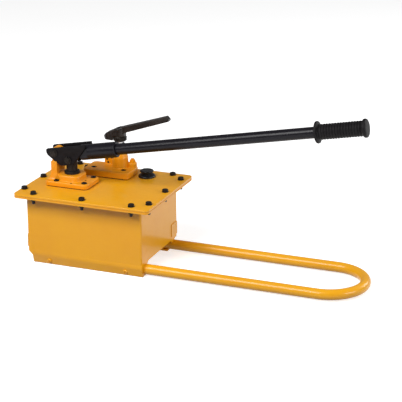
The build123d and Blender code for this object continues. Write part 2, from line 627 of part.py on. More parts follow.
def yoke_plate(side):
    corners = [along_handle(u, v) for u, v in plate_outline()]
    outline = Plane.XZ * make_face(Polyline(*corners, close=True))
    plate_solid = extrude(outline, amount=plate_thick, dir=(0, 1, 0))
    upright = plate_solid.edges().filter_by(Axis.Y)
    plate_solid = fillet(upright.sort_by(Axis.X)[:2], 5.0)
    plate_solid = fillet(plate_solid.edges().filter_by(Axis.Y).sort_by(Axis.Z)[:2], 7.0)
    inner = pump_y + side * plate_gap / 2
    plate_solid = at(0, inner if side > 0 else inner - plate_thick, 0) * plate_solid
    plate_solid -= cross_rod(fulcrum_pin_r, pump_y - 40, pump_y + 40, fulcrum_x, fulcrum_z)
    return plate_solid - cross_rod(plunger_pin_r, pump_y - 40, pump_y + 40, pump_x, plunger_pin_z)


def make_pin(radius, x, z):
    """Headless pin through both plates, grooved at both ends for its clips."""
    half = plate_gap / 2 + plate_thick + pin_past
    pin = cross_rod(radius, pump_y - half, pump_y + half, x, z)
    pin = chamfer(pin.edges().filter_by(GeomType.CIRCLE), 0.8)
    for side in (-1, 1):
        middle = pump_y + side * (half - clip_inset)
        groove = cross_rod(radius + 1, middle - clip_thick / 2, middle + clip_thick / 2, x, z)
        pin -= groove - cross_rod(radius - 1, middle - 1, middle + 1, x, z)
    return pin


def pin_clips(radius, x, z):
    half = plate_gap / 2 + plate_thick + pin_past
    clips = []
    for side in (-1, 1):
        middle = pump_y + side * (half - clip_inset)
        clip = cross_rod(radius + clip_rim, middle - clip_thick / 2, middle + clip_thick / 2, x, z)
        clip -= cross_rod(radius - 1, middle - 1, middle + 1, x, z)
        clips.append(clip - at(x, middle, z + radius) * Box(clip_rim, 2, 2 * radius))
    return clips


def make_handle_socket():
    body = handle_rod(socket_od / 2, socket_tongue, socket_end)
    body = chamfer(body.edges().filter_by(GeomType.CIRCLE), 1.2)
    trim = [(socket_tongue - 20, -60), (plate_end, -60), (plate_end, 60), (socket_tongue - 20, 60)]
    flats = Plane.XZ * make_face(Polyline(*[along_handle(u, v) for u, v in trim], close=True))
    for side in (-1, 1):
        slab = extrude(flats, amount=20, dir=(0, 1, 0))
        low = pump_y + plate_gap / 2 if side > 0 else pump_y - plate_gap / 2 - 20
        body -= at(0, low, 0) * slab
    body -= handle_rod(handle_od / 2, handle_start, socket_end + 1)
    return body - grub_place() * at(0, 0, -8) * extrude(Circle(m8_r), amount=16)


def grub_place():
    """Underside of the socket, for the grub screw that clamps the handle tube."""
    x, z = along_handle(socket_end - 18, -axis_drop - socket_od / 2)
    return at(x, pump_y, z) * Rot(0, 180 - handle_pitch, 0)


def make_socket_grub():
    depth = (socket_od - handle_od) / 2
    screw = at(0, 0, -depth) * extrude(Circle(m8_r), amount=depth + 1.0)
    return grub_place() * (screw - at(0, 0, -2) * hexagon(4.0, 4.0))


def make_handle_tube():
    bore = handle_rod(handle_od / 2 - handle_wall, handle_start - 1, grip_end)
    return handle_rod(handle_od / 2, handle_start, grip_end - grip_floor) - bore


def make_grip():
    """Ribbed rubber grip with a hand guard at its inner end and a domed closed end."""
    body = handle_rod(grip_od / 2, grip_start, grip_end - grip_cap)
    collar = handle_rod(grip_od / 2 + grip_guard_rim, grip_start, grip_start + grip_guard)
    body += fillet(collar.edges().filter_by(GeomType.CIRCLE), 2.0)
    knob = handle_rod(grip_od / 2 + grip_cap_rim, grip_end - grip_cap, grip_end)
    body += fillet(knob.edges().filter_by(GeomType.CIRCLE), 3.5)
    rib_pitch = (grip_length - grip_guard - grip_cap - 6) / grip_ribs
    for index in range(grip_ribs):
        low = grip_start + grip_guard + 4 + index * rib_pitch
        groove = handle_rod(grip_od / 2 + 1, low, low + rib_pitch * 0.4)
        body -= groove - handle_rod(grip_od / 2 - grip_rib_depth, low - 1, low + rib_pitch)
    return body - handle_rod(handle_od / 2, grip_start - 1, grip_end - grip_floor)


# ---------------------------------------------------------------- valve block
def valve_screw_points():
    """Seats of the screws that hold the valve block: two low in front, one through the port head."""
    low, high = valve_top_z - socket_head, port_head_top_z - socket_head
    front = [(valve_x + dx, valve_y + valve_screw_dy, low) for dx in (-valve_screw_dx, valve_screw_dx)]
    return front + [(port_head_x, port_head_y, high)]


def make_valve_block():
    base = plate(valve_base_l, valve_base_w, valve_base_h, block_corner_r, valve_x, valve_y, block_z)
    base = chamfer(base.edges().group_by(Axis.Z)[-1], 2.5)
    tower = rod(tower_r, block_z, tower_shoulder_z, spool_x, spool_y)
    tower += at(spool_x, spool_y, tower_shoulder_z) * Cone(
        tower_r, tower_top_r, tower_top_z - tower_shoulder_z, align=(Align.CENTER, Align.CENTER, Align.MIN))
    boss = rod(relief_boss_r, block_z, relief_boss_z, relief_x, relief_y)
    boss = fillet(boss.edges().group_by(Axis.Z)[-1], 2.5)
    head = plate(port_head_l, port_head_w, port_head_top_z - block_z, 4.0, port_head_x, port_head_y, block_z)
    block = base + tower + boss + fillet(head.edges().group_by(Axis.Z)[-1], 2.5)
    block -= rod(spool_r + running, block_z + 5, tower_top_z - bonnet_spigot + 0.5, spool_x, spool_y)
    block -= rod(stem_r + 4, tower_top_z - bonnet_spigot - 0.5, tower_top_z + 1, spool_x, spool_y)
    block -= rod(pipe_r, block_z - 1, block_z + 10, pump_x, pipe_y)
    block -= rod(return_r, block_z - 1, block_z + 8, return_x, return_y)
    for side in (-1, 1):
        block -= port_place(side) * at(0, 0, -port_depth) * extrude(Circle(port_r), amount=port_depth + 1)
    block -= rod(relief_screw_r, relief_boss_z - relief_bore, relief_boss_z + 1, relief_x, relief_y)
    block -= gauge_place() * at(0, 0, -gauge_depth) * extrude(Circle(gauge_r), amount=gauge_depth + 1)
    for x, y, seat in valve_screw_points():
        block -= rod(socket_head_r + head_gap, seat, seat + 40, x, y)
        block -= rod(m8_hole_r, block_z - 1, seat + 1, x, y)
    for place in valve_plug_places():
        block -= oil_plug_hole(place)
    return block


def valve_plug_places():
    """Blanking plugs on the front of the port head."""
    face_y = port_head_y - port_head_w / 2
    left = port_head_x - port_head_l / 2
    return [at(left + dx, face_y, valve_top_z + dz) * Rot(90, 0, 0) for dx, dz in ((8.0, 14.0), (11.0, 6.0))]


def port_place(side):
    """Mouth of an oil port on the back of the port head."""
    x = port_head_x + side * port_pitch / 2
    return at(x, port_head_y + port_head_w / 2, port_z) * Rot(-90, 0, 0)


def gauge_place():
    """Mouth of the gauge port on the block's end face."""
    return at(valve_x - valve_base_l / 2, valve_y - gauge_side, block_z + gauge_up) * Rot(0, -90, 0)


def make_gauge_plug():
    body = at(0, 0, 2 - gauge_depth) * extrude(Circle(gauge_r), amount=gauge_depth - 2)
    body += extrude(Circle(8.5), amount=1.5) + hexagon(14.0, 6.0)
    return gauge_place() * body


def make_spool():
    """Rotary valve spool with its stem, which carries the lever."""
    seal_low = tower_top_z - bonnet_spigot - 0.5 - stem_seal_h
    body = rod(spool_r, block_z + 5.5, seal_low, spool_x, spool_y)
    for turn in (0, 90, 180, 270):
        x = spool_x + spool_r * math.cos(math.radians(turn))
        y = spool_y + spool_r * math.sin(math.radians(turn))
        body -= rod(3.0, block_z + 12, block_z + 28, x, y)
    body += rod(stem_r, seal_low - 1, lever_seat_z + stem_into_lever, spool_x, spool_y)
    return body - rod(m6_r, lever_seat_z - 1, lever_seat_z + stem_into_lever + 1, spool_x, spool_y)


def make_stem_seal():
    top = tower_top_z - bonnet_spigot - 0.5
    return ring(spool_r, stem_r + running, top - stem_seal_h + 0.5, top, spool_x, spool_y)


def make_bonnet():
    body = at(spool_x, spool_y, tower_top_z) * hexagon(bonnet_flats, bonnet_hex)
    body += rod(stem_r + bonnet_neck, tower_top_z, bonnet_top_z, spool_x, spool_y)
    body += rod(stem_r + 4, tower_top_z - bonnet_spigot, tower_top_z, spool_x, spool_y)
    body = chamfer(body.edges().group_by(Axis.Z)[-1], 1.0)
    return body - rod(stem_r + running, tower_top_z - 8, bonnet_top_z + 1, spool_x, spool_y)


def make_lever_collar():
    body = rod(collar_r, collar_low_z, lever_seat_z, spool_x, spool_y)
    body = chamfer(body.edges().group_by(Axis.Z)[-1], 2.5)
    body = chamfer(body.edges().group_by(Axis.Z)[0], 2.5)
    for index in range(collar_flutes):
        turn = 2 * math.pi * index / collar_flutes
        x, y = spool_x + collar_r * math.cos(turn), spool_y + collar_r * math.sin(turn)
        body -= rod(0.9, collar_low_z - 1, lever_seat_z + 1, x, y)
    return body - rod(stem_r, collar_low_z - 1, lever_seat_z + 1, spool_x, spool_y)


def make_valve_lever():
    """Cast lever: thick hub with a drooping heel, and an arm rising away from it."""
    seat = lever_seat_z
    end = lever_reach + lever_tip_r
    back = -lever_heel - lever_heel_r
    heel = [(back + 6, seat - 11), (back + 1, seat - 8), (back, seat - 3), (back + 6, seat + 4)]
    heel += [(1 - lever_heel, seat + 9)]
    arm = [(-4, seat + lever_deep), (end - 7, seat + lever_rise), (end, seat + lever_rise - 4),
           (end, seat + lever_rise - 12), (14, seat + 9)]
    hub = [(14, seat), (-collar_r - 1, seat), (-collar_r - 2, seat - 11)]
    outline = Plane.XZ * make_face(Polyline(*(heel + arm + hub), close=True))
    body = extrude(outline, amount=40, both=True)
    plan = make_hull((Pos(-lever_heel, 0) * Circle(lever_heel_r) + Circle(lever_hub_r)).edges())
    blade = make_face(Polyline((0, -lever_root), (lever_reach, -lever_tip_r), (lever_reach, lever_tip_r),
                               (0, lever_root), close=True))
    plan = plan + blade + Pos(lever_reach, 0) * Circle(lever_tip_r)
    body &= at(0, 0, seat - 40) * extrude(plan, amount=140)
    body = at(spool_x, spool_y, 0) * body
    body -= rod(stem_r, seat - 1, seat + stem_into_lever, spool_x, spool_y)
    body -= rod(m6_hole_r, seat, seat + 60, spool_x, spool_y)
    return body - rod(6.0, seat + 15, seat + 60, spool_x, spool_y)


def make_lever_screw():
    head = extrude(Circle(5.0), amount=6.0) - at(0, 0, 3) * hexagon(5.0, 4.0)
    return at(spool_x, spool_y, lever_seat_z + 15) * (head + at(0, 0, -14) * extrude(Circle(m6_r), amount=14))


def make_relief_screw():
    body = rod(relief_screw_r, relief_boss_z - 10, relief_boss_z + 9, relief_x, relief_y)
    return body - at(relief_x, relief_y, relief_boss_z + 5) * hexagon(5.0, 5.0)


def make_relief_nut():
    nut = hexagon(14.0, 5.0) - extrude(Circle(relief_screw_r), amount=5.0)
    return at(relief_x, relief_y, relief_boss_z) * nut


def make_relief_spring():
    low = relief_boss_z - relief_bore + 2 * relief_ball_r + 0.3
    return at(relief_x, relief_y, 0) * spring(relief_screw_r - 0.4, low, relief_boss_z - 10.2, 3)


# ---------------------------------------------------------------- filler
def make_filler_neck():
    flange = rod(neck_flange_r, lid_top_z, lid_top_z + neck_flange, filler_x, filler_y)
    flange = fillet(flange.edges().group_by(Axis.Z)[-1], 2.5)
    low = lid_top_z - lid_thick - neck_below
    body = flange + rod(neck_r, low, lid_top_z + 1, filler_x, filler_y)
    return body - rod(neck_bore_r, low - 1, lid_top_z + neck_flange + 1, filler_x, filler_y)


def make_filler_strainer():
    top = lid_top_z - 2
    low = top - basket_depth
    cup = ring(neck_bore_r, neck_bore_r - basket_wall, low, top, filler_x, filler_y)
    cup += rod(neck_bore_r, low, low + basket_wall, filler_x, filler_y)
    for level in range(5):
        for turn in range(8):
            x = filler_x + neck_bore_r * math.cos(turn * math.pi / 4)
            y = filler_y + neck_bore_r * math.sin(turn * math.pi / 4)
            cup -= at(x, y, low + 8 + level * 6) * Sphere(basket_hole_r)
    return cup


def make_cap_seal():
    top = lid_top_z + neck_flange
    return ring(neck_bore_r + 2, neck_bore_r - 2.5, top, top + cap_seal_h, filler_x, filler_y)


def make_filler_cap():
    seat = lid_top_z + neck_flange + cap_seal_h
    cap = rod(cap_r, seat, seat + cap_height, filler_x, filler_y)
    cap = fillet(cap.edges().group_by(Axis.Z)[-1], 2.5)
    for index in range(cap_flutes):
        turn = 2 * math.pi * index / cap_flutes
        cap -= rod(1.2, seat - 1, seat + cap_height - 2.5, filler_x + cap_r * math.cos(turn),
                   filler_y + cap_r * math.sin(turn))
    cap += rod(neck_bore_r - cap_spigot_gap, seat - cap_spigot, seat + 1, filler_x, filler_y)
    return cap


# ---------------------------------------------------------------- write every node
def main():
    os.makedirs("parts", exist_ok=True)
    bolts = lid_bolt_points()
    save("tank", make_tank())
    rail = make_rail()
    save("front_rail", rail)
    save("back_rail", turned(rail))
    save("end_tabs", end_tab(), turned(end_tab()))
    bushes = [rail_bush(place) for place in rail_screw_places()]
    screws = [place * rail_screw() for place in rail_screw_places()]
    save("rail_bushes", *bushes, *[turned(piece) for piece in bushes])
    save("rail_screws", *screws, *[turned(piece) for piece in screws])
    save("frame_tube", make_frame_tube())
    save("frame_plugs", frame_plug(-1), frame_plug(1))
    save("lid_gasket", make_lid_gasket())
    save("lid", make_lid())
    save("lid_bolts", *[lid_bolt(x, y) for x, y in bolts])
    save("lid_washers", *[lid_washer(x, y) for x, y in bolts])
    save("lid_nuts", *[lid_nut(x, y) for x, y in bolts])
    save("drain_plug", make_drain_plug())
    save("drain_seal", make_drain_seal())

    save("pump_block", make_pump_block())
    holes = [(barrel_r + free, pump_x, pump_y)] + [(m8_hole_r, x, y) for x, y in pump_screw_points()]
    save("pump_block_gasket", make_block_gasket(pump_base_l, pump_base_w, pump_x, pump_y, holes))
    length = pump_seat_z - lid_top_z + lid_thick
    save("pump_block_screws", *[at(x, y, pump_seat_z) * socket_screw(m8_r, length)
                                for x, y in pump_screw_points()])
    save("oil_way_plugs", *[oil_plug(place) for place in pump_plug_places() + valve_plug_places()])
    save("gland_nut", make_gland_nut())
    gland_top = pump_top_z + gland_head
    save("wiper_ring", ring(plunger_r + wiper_width, plunger_r + running, gland_top - wiper_h, gland_top,
                            pump_x, pump_y))
    save("plunger_seal", ring(plunger_r + seal_width, plunger_r + running, barrel_top_z,
                              pump_top_z - gland_tail, pump_x, pump_y))
    save("plunger", make_plunger())
    save("pump_barrel", make_barrel())
    save("foot_valve_body", make_foot_valve())
    seat_low = barrel_foot_z - foot_valve_h + 3
    save("suction_ball", at(pump_x, pump_y, seat_low + 3.4) * Sphere(ball_r - 0.5))
    save("suction_strainer", make_suction_strainer())
    save("delivery_valve_body", make_delivery_body())
    save("delivery_ball", at(pump_x, delivery_start() + 8 + ball_r - 1, delivery_z) * Sphere(ball_r - 0.5))
    coil = spring(ball_r, 0, check_body_l - 16 - 2 * ball_r - 0.5, 5)
    spring_foot = at(pump_x, delivery_start() + 8.3 + 2 * ball_r - 1.0, delivery_z) * Rot(-90, 0, 0)
    save("delivery_spring", spring_foot * coil)
    save("pressure_pipe", make_pressure_pipe())
    save("return_pipe", ring(return_r, return_r - pipe_wall, floor_z + 30, block_z + 8, return_x, return_y))

    save("front_yoke_plate", yoke_plate(-1))
    save("back_yoke_plate", yoke_plate(1))
    save("fulcrum_pin", make_pin(fulcrum_pin_r, fulcrum_x, fulcrum_z))
    save("fulcrum_clips", *pin_clips(fulcrum_pin_r, fulcrum_x, fulcrum_z))
    save("plunger_pin", make_pin(plunger_pin_r, pump_x, plunger_pin_z))
    save("plunger_pin_clips", *pin_clips(plunger_pin_r, pump_x, plunger_pin_z))
    save("handle_socket", make_handle_socket())
    save("socket_grub_screw", make_socket_grub())
    save("handle_tube", make_handle_tube())
    save("handle_grip", make_grip())

    save("valve_block", make_valve_block())
    holes = [(pipe_r + free, pump_x, pipe_y), (return_r + free, return_x, return_y)]
    holes += [(m8_hole_r, x, y) for x, y, _ in valve_screw_points()]
    save("valve_block_gasket", make_block_gasket(valve_base_l, valve_base_w, valve_x, valve_y, holes))
    save("valve_block_screws", *[at(x, y, seat) * socket_screw(m8_r, seat - lid_top_z + lid_thick)
                                 for x, y, seat in valve_screw_points()])
    save("gauge_port_plug", make_gauge_plug())
    save("valve_spool", make_spool())
    save("stem_seal", make_stem_seal())
    save("valve_bonnet", make_bonnet())
    save("lever_collar", make_lever_collar())
    save("valve_lever", make_valve_lever())
    save("lever_screw", make_lever_screw())
    save("relief_screw", make_relief_screw())
    save("relief_lock_nut", make_relief_nut())
    relief_seat = relief_boss_z - relief_bore
    save("relief_ball", at(relief_x, relief_y, relief_seat + relief_ball_r) * Sphere(relief_ball_r))
    save("relief_spring", make_relief_spring())

    save("filler_neck", make_filler_neck())
    save("filler_strainer", make_filler_strainer())
    save("filler_cap_seal", make_cap_seal())
    save("filler_cap", make_filler_cap())


if __name__ == "__main__":
    main()
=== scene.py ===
"""Looks of the hydraulic hand pump.

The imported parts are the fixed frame. The pieces that show are modelled again here with soft edges, cast
corners and turned details, each on the body that its part belongs to, and every part gets a finish.
Lengths are metres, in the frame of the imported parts.
"""

import logging
import math
from dataclasses import dataclass
from enum import Enum
from typing import Any, Callable, Optional, Sequence, Union

import bmesh
import bpy
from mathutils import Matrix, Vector


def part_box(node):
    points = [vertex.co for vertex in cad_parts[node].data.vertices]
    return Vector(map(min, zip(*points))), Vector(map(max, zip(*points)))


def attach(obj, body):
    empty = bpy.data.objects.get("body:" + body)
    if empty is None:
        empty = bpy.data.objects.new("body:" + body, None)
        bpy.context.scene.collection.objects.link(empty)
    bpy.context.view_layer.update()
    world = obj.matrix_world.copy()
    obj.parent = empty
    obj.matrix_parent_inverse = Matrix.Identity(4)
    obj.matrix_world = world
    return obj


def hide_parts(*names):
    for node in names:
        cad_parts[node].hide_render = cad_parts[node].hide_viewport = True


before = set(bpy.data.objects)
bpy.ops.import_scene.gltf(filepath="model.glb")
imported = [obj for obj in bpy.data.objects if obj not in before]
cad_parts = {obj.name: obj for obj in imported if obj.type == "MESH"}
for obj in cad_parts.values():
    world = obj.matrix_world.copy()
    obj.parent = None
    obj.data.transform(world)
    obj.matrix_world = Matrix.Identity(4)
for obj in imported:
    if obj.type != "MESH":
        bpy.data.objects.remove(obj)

log = logging.getLogger("hand_pump")
MM = 0.001

Colour = tuple[float, float, float]
Point = Sequence[float]


class Body(Enum):
    """The bodies that the new pieces move with."""

    BASE = "base"
    HANDLE = "handle"
    VALVE = "valve_lever"
    CAP = "filler_cap"


class Slot(Enum):
    """The record's material slots."""

    ENAMEL = "yellow_enamel"
    CASTING = "yellow_casting"
    BLACK = "black_enamel"
    OXIDE = "black_oxide"
    STEEL = "bright_steel"
    RUBBER = "black_rubber"
    PLASTIC = "black_plastic"
    FIBRE = "gasket_fibre"
    SEAL = "seal_rubber"


class Lie(Enum):
    """Which way the axis of a turned piece points once it is laid down."""

    ALONG_X = (0.0, math.pi / 2, 0.0)
    ALONG_Y = (-math.pi / 2, 0.0, 0.0)


# ------------------------------------------------------------------------------------- shader maths
Operand = Union["Wire", float]


class Wire:
    """An output socket. Python operators on it add Math nodes."""

    def __init__(self, graph: "Graph", socket: bpy.types.NodeSocket) -> None:
        """Wraps a socket.

        Args:
            graph: The node tree that the socket is in.
            socket: The output socket.
        """
        self.graph = graph
        self.socket = socket

    def _math(self, operation: str, *values: Operand) -> "Wire":
        """Adds one Math node.

        Args:
            operation: The Math node's operation.
            values: Its inputs in order.

        Returns:
            The result.
        """
        return self.graph.add("ShaderNodeMath", {"operation": operation}, dict(enumerate(values)))

    def __add__(self, other: Operand) -> "Wire":
        """self + other."""
        return self._math("ADD", self, other)

    def __radd__(self, other: Operand) -> "Wire":
        """other + self."""
        return self._math("ADD", other, self)

    def __sub__(self, other: Operand) -> "Wire":
        """self - other."""
        return self._math("SUBTRACT", self, other)

    def __rsub__(self, other: Operand) -> "Wire":
        """other - self."""
        return self._math("SUBTRACT", other, self)

    def __mul__(self, other: Operand) -> "Wire":
        """self * other."""
        return self._math("MULTIPLY", self, other)

    def __rmul__(self, other: Operand) -> "Wire":
        """other * self."""
        return self._math("MULTIPLY", other, self)

    def clamp(self) -> "Wire":
        """The value kept between 0 and 1."""
        return self._math("MINIMUM", self._math("MAXIMUM", self, 0.0), 1.0)

    def above(self, start: float, end: float) -> "Wire":
        """A soft step.

        Args:
            start: Where it leaves 0.
            end: Where it reaches 1.

        Returns:
            0 below start and 1 above end.
        """
        return ((self - start) * (1.0 / (end - start))).clamp()


class Graph:
    """The node tree of one material."""

    def __init__(self, name: str) -> None:
        """Makes a material with one Principled shader.

        Args:
            name: The material's name.
        """
        self.material = bpy.data.materials.new(name)
        self.material.use_nodes = True
        self.tree = self.material.node_tree
        self.shader = self.tree.nodes["Principled BSDF"]

    def add(self, kind: str, settings: Optional[dict[str, Any]] = None,
            inputs: Optional[dict[Union[str, int], Any]] = None, out: Union[str, int] = 0) -> Wire:
        """Adds one node.

        Args:
            kind: The node's type.
            settings: Properties that are set first, such as a Math node's operation.
            inputs: Values or wires for its sockets, by name or number.
            out: The output that is wanted.

        Returns:
            That output.
        """
        node = self.tree.nodes.new(kind)
        for key, value in (settings or {}).items():
            setattr(node, key, value)
        for key, value in (inputs or {}).items():
            self.join(value, node.inputs[key])
        return Wire(self, node.outputs[out])

    def join(self, value: Any, socket: bpy.types.NodeSocket) -> None:
        """Links a wire to a socket, or sets the socket's own value.

        Args:
            value: A wire, a number, or a tuple of numbers.
            socket: The input socket.
        """
        if isinstance(value, Wire):
            self.tree.links.new(value.socket, socket)
        elif isinstance(value, tuple) and socket.type == "RGBA" and len(value) == 3:
            socket.default_value = (*value, 1.0)
        else:
            socket.default_value = value

    def place(self, stretch: Point = (1.0, 1.0, 1.0), turn: Point = (0.0, 0.0, 0.0)) -> Wire:
        """Object coordinates, turned and stretched.

        Args:
            stretch: Scale of each axis.
            turn: Euler angles in radians.

        Returns:
            The coordinates.
        """
        coords = self.add("ShaderNodeTexCoord", out="Object")
        return self.add("ShaderNodeMapping", {}, {"Vector": coords, "Scale": tuple(stretch),
                                                  "Rotation": tuple(turn)})

    def noise(self, at: Wire, per_metre: float, detail: float = 3.0, rough: float = 0.55) -> Wire:
        """Noise between 0 and 1.

        Args:
            at: Coordinates.
            per_metre: Scale.
            detail: Octaves.
            rough: Weight of each finer octave.

        Returns:
            The noise value.
        """
        return self.add("ShaderNodeTexNoise", {}, {"Vector": at, "Scale": per_metre, "Detail": detail,
                                                   "Roughness": rough})

    def grain(self, at: Wire, per_metre: float) -> Wire:
        """Distance to the nearest cell centre, for pits and pebbling.

        Args:
            at: Coordinates.
            per_metre: Cells for each metre.

        Returns:
            The distance.
        """
        return self.add("ShaderNodeTexVoronoi", {"feature": "F1"}, {"Vector": at, "Scale": per_metre})

    def mix(self, share: Operand, first: Union[Wire, Colour], second: Union[Wire, Colour]) -> Wire:
        """Mixes two colours.

        Args:
            share: Share of the second one.
            first: The first colour.
            second: The second colour.

        Returns:
            The colour.
        """
        return self.add("ShaderNodeMix", {"data_type": "RGBA"}, {0: share, 6: first, 7: second}, out=2)

    def facing_up(self) -> Wire:
        """How far the surface faces up, from -1 to 1."""
        normal = self.add("ShaderNodeNewGeometry", out="Normal")
        return self.add("ShaderNodeSeparateXYZ", {}, {"Vector": normal}, out="Z")

    def relief(self, height: Wire, depth: float) -> Wire:
        """Bumps.

        Args:
            height: Height between 0 and 1.
            depth: Metres between 0 and 1.

        Returns:
            The bumped normal.
        """
        return self.add("ShaderNodeBump", {}, {"Height": height, "Distance": depth, "Strength": 1.0})

    def surface(self, colour: Wire, rough: Wire, normal: Wire, **constants: Any) -> bpy.types.Material:
        """Feeds the shader.

        Args:
            colour: Base Color.
            rough: Roughness.
            normal: Normal.
            constants: Other inputs, by name with underscores for spaces.

        Returns:
            The material.
        """
        for key, value in constants.items():
            self.join(value, self.shader.inputs[key.replace("_", " ")])
        self.join(colour, self.shader.inputs["Base Color"])
        self.join(rough, self.shader.inputs["Roughness"])
        self.join(normal, self.shader.inputs["Normal"])
        return self.material


# ------------------------------------------------------------------------------------- finishes
class Finish:
    """A finish that makes its material once."""

    made: dict[str, bpy.types.Material] = {}
    name: str
    slot: Slot

    def material(self) -> bpy.types.Material:
        """The material, made on first use."""
        if self.name not in Finish.made:
            Finish.made[self.name] = self.build(Graph(self.name))
        return Finish.made[self.name]

    def build(self, graph: Graph) -> bpy.types.Material:
        """Makes the nodes.

        Args:
            graph: An empty graph.

        Returns:
            The material.
        """
        raise NotImplementedError


@dataclass(frozen=True)
class Enamel(Finish):
    """Sprayed gloss enamel on sheet, tube or a casting."""

    name: str
    slot: Slot
    tint: Colour
    shade: Colour
    dust: Colour = (0.66, 0.44, 0.14)
    peel: float = 0.03 * MM
    sand: float = 0.0
    rough: float = 0.30
    coat: float = 0.22
    coat_rough: float = 0.08
    specular: float = 0.24

    def build(self, graph: Graph) -> bpy.types.Material:
        """Colour drifts slowly, orange peel and cast pits show in the gloss, and a little dust lies on top.

        Args:
            graph: An empty graph.

        Returns:
            The material.
        """
        at = graph.place()
        drift = graph.noise(at, 11.0, 4.0)
        mottle = graph.noise(at, 95.0, 4.0)
        peel = graph.noise(at, 420.0, 2.0)
        lying = graph.facing_up().above(0.6, 1.0) * mottle.above(0.46, 0.8)
        colour = graph.mix((drift * 0.75 + mottle * 0.25).above(0.3, 0.7), self.tint, self.shade)
        colour = graph.mix(lying * 0.22, colour, self.dust)
        rough = self.rough + 0.10 * mottle + 0.16 * lying
        if self.sand:
            pits = 1.0 - graph.grain(at, 520.0).above(0.0, 0.55)
            coarse = graph.noise(at, 170.0, 5.0, 0.62)
            height = (coarse + 0.35 * (1.0 - pits)) * (self.sand / self.peel) + peel
        else:
            height = peel + 3.0 * graph.noise(at, 16.0, 1.0)
        normal = graph.relief(height, self.peel)
        return graph.surface(colour, rough, normal, Coat_Weight=self.coat, Coat_Roughness=self.coat_rough,
                             Metallic=0.0, Specular_IOR_Level=self.specular)


@dataclass(frozen=True)
class SatinBlack(Finish):
    """Black paint or blackened steel, rubbed along one direction."""

    name: str
    slot: Slot
    tint: Colour
    worn: Colour
    metallic: float = 0.0
    rough: float = 0.30
    coat: float = 0.0
    specular: float = 0.10
    along: tuple[float, float, float] = (1.0, 1.0, 1.0)
    turn: tuple[float, float, float] = (0.0, 0.0, 0.0)
    depth: float = 0.02 * MM

    def build(self, graph: Graph) -> bpy.types.Material:
        """Fine rub marks along the piece, handling smears in the sheen and a faint grain.

        Args:
            graph: An empty graph.

        Returns:
            The material.
        """
        at = graph.place()
        rubbed = graph.noise(graph.place(self.along, self.turn), 260.0, 3.0).above(0.52, 0.78)
        smear = graph.noise(at, 32.0, 4.0)
        grain = graph.noise(at, 900.0, 2.0)
        colour = graph.mix((rubbed * 0.35 + smear.above(0.5, 0.8) * 0.25).clamp(), self.tint, self.worn)
        rough = self.rough + 0.16 * smear + 0.10 * rubbed
        normal = graph.relief(grain + 0.6 * rubbed, self.depth)
        return graph.surface(colour, rough, normal, Metallic=self.metallic, Coat_Weight=self.coat,
                             Coat_Roughness=0.12, Specular_IOR_Level=self.specular)


@dataclass(frozen=True)
class MachinedSteel(Finish):
    """Bright turned or ground steel."""

    name: str = "bright_steel"
    slot: Slot = Slot.STEEL
    tint: Colour = (0.52, 0.52, 0.53)
    stain: Colour = (0.30, 0.27, 0.23)

    def build(self, graph: Graph) -> bpy.types.Material:
        """Tool marks round the upright axis and a light stain of oil.

        Args:
            graph: An empty graph.

        Returns:
            The material.
        """
        at = graph.place()
        marks = graph.noise(graph.place((0.05, 0.05, 1.0)), 2600.0, 2.0)
        oil = graph.noise(at, 60.0, 4.0).above(0.52, 0.75)
        colour = graph.mix(oil * 0.5, self.tint, self.stain)
        rough = 0.20 + 0.14 * marks + 0.12 * oil
        return graph.surface(colour, rough, graph.relief(marks, 0.01 * MM), Metallic=1.0)


@dataclass(frozen=True)
class Moulded(Finish):
    """Moulded rubber, plastic or gasket fibre."""

    name: str
    slot: Slot
    tint: Colour
    bloom: Colour
    rough: float
    pebble: float
    depth: float
    sheen: float = 0.0
    specular: float = 0.12

    def build(self, graph: Graph) -> bpy.types.Material:
        """A pebbled mould surface with a pale bloom in patches.

        Args:
            graph: An empty graph.

        Returns:
            The material.
        """
        at = graph.place()
        cells = graph.grain(at, self.pebble)
        patches = graph.noise(at, 70.0, 4.0)
        bloom = patches.above(0.48, 0.8) * 0.5 + cells.above(0.3, 0.9) * 0.2
        colour = graph.mix(bloom.clamp(), self.tint, self.bloom)
        rough = self.rough + 0.16 * patches
        height = cells + 0.5 * graph.noise(at, self.pebble * 0.4, 2.0)
        return graph.surface(colour, rough, graph.relief(height, self.depth), Sheen_Weight=self.sheen,
                             Specular_IOR_Level=self.specular)


@dataclass(frozen=True)
class Floor(Finish):
    """The pale studio floor."""

    name: str = "studio_floor"
    tint: Colour = (0.90, 0.90, 0.90)
    shade: Colour = (0.86, 0.86, 0.865)
    glow: float = 0.66

    def build(self, graph: Graph) -> bpy.types.Material:
        """Seamless paper with the faintest unevenness and a glow that keeps it white.

        Args:
            graph: An empty graph.

        Returns:
            The material.
        """
        at = graph.place()
        broad = graph.noise(at, 1.3, 3.0)
        colour = graph.mix(broad, self.tint, self.shade)
        return graph.surface(colour, 0.75 + 0.1 * broad, graph.relief(graph.noise(at, 300.0), 0.02 * MM),
                             Emission_Color=self.tint, Emission_Strength=self.glow)


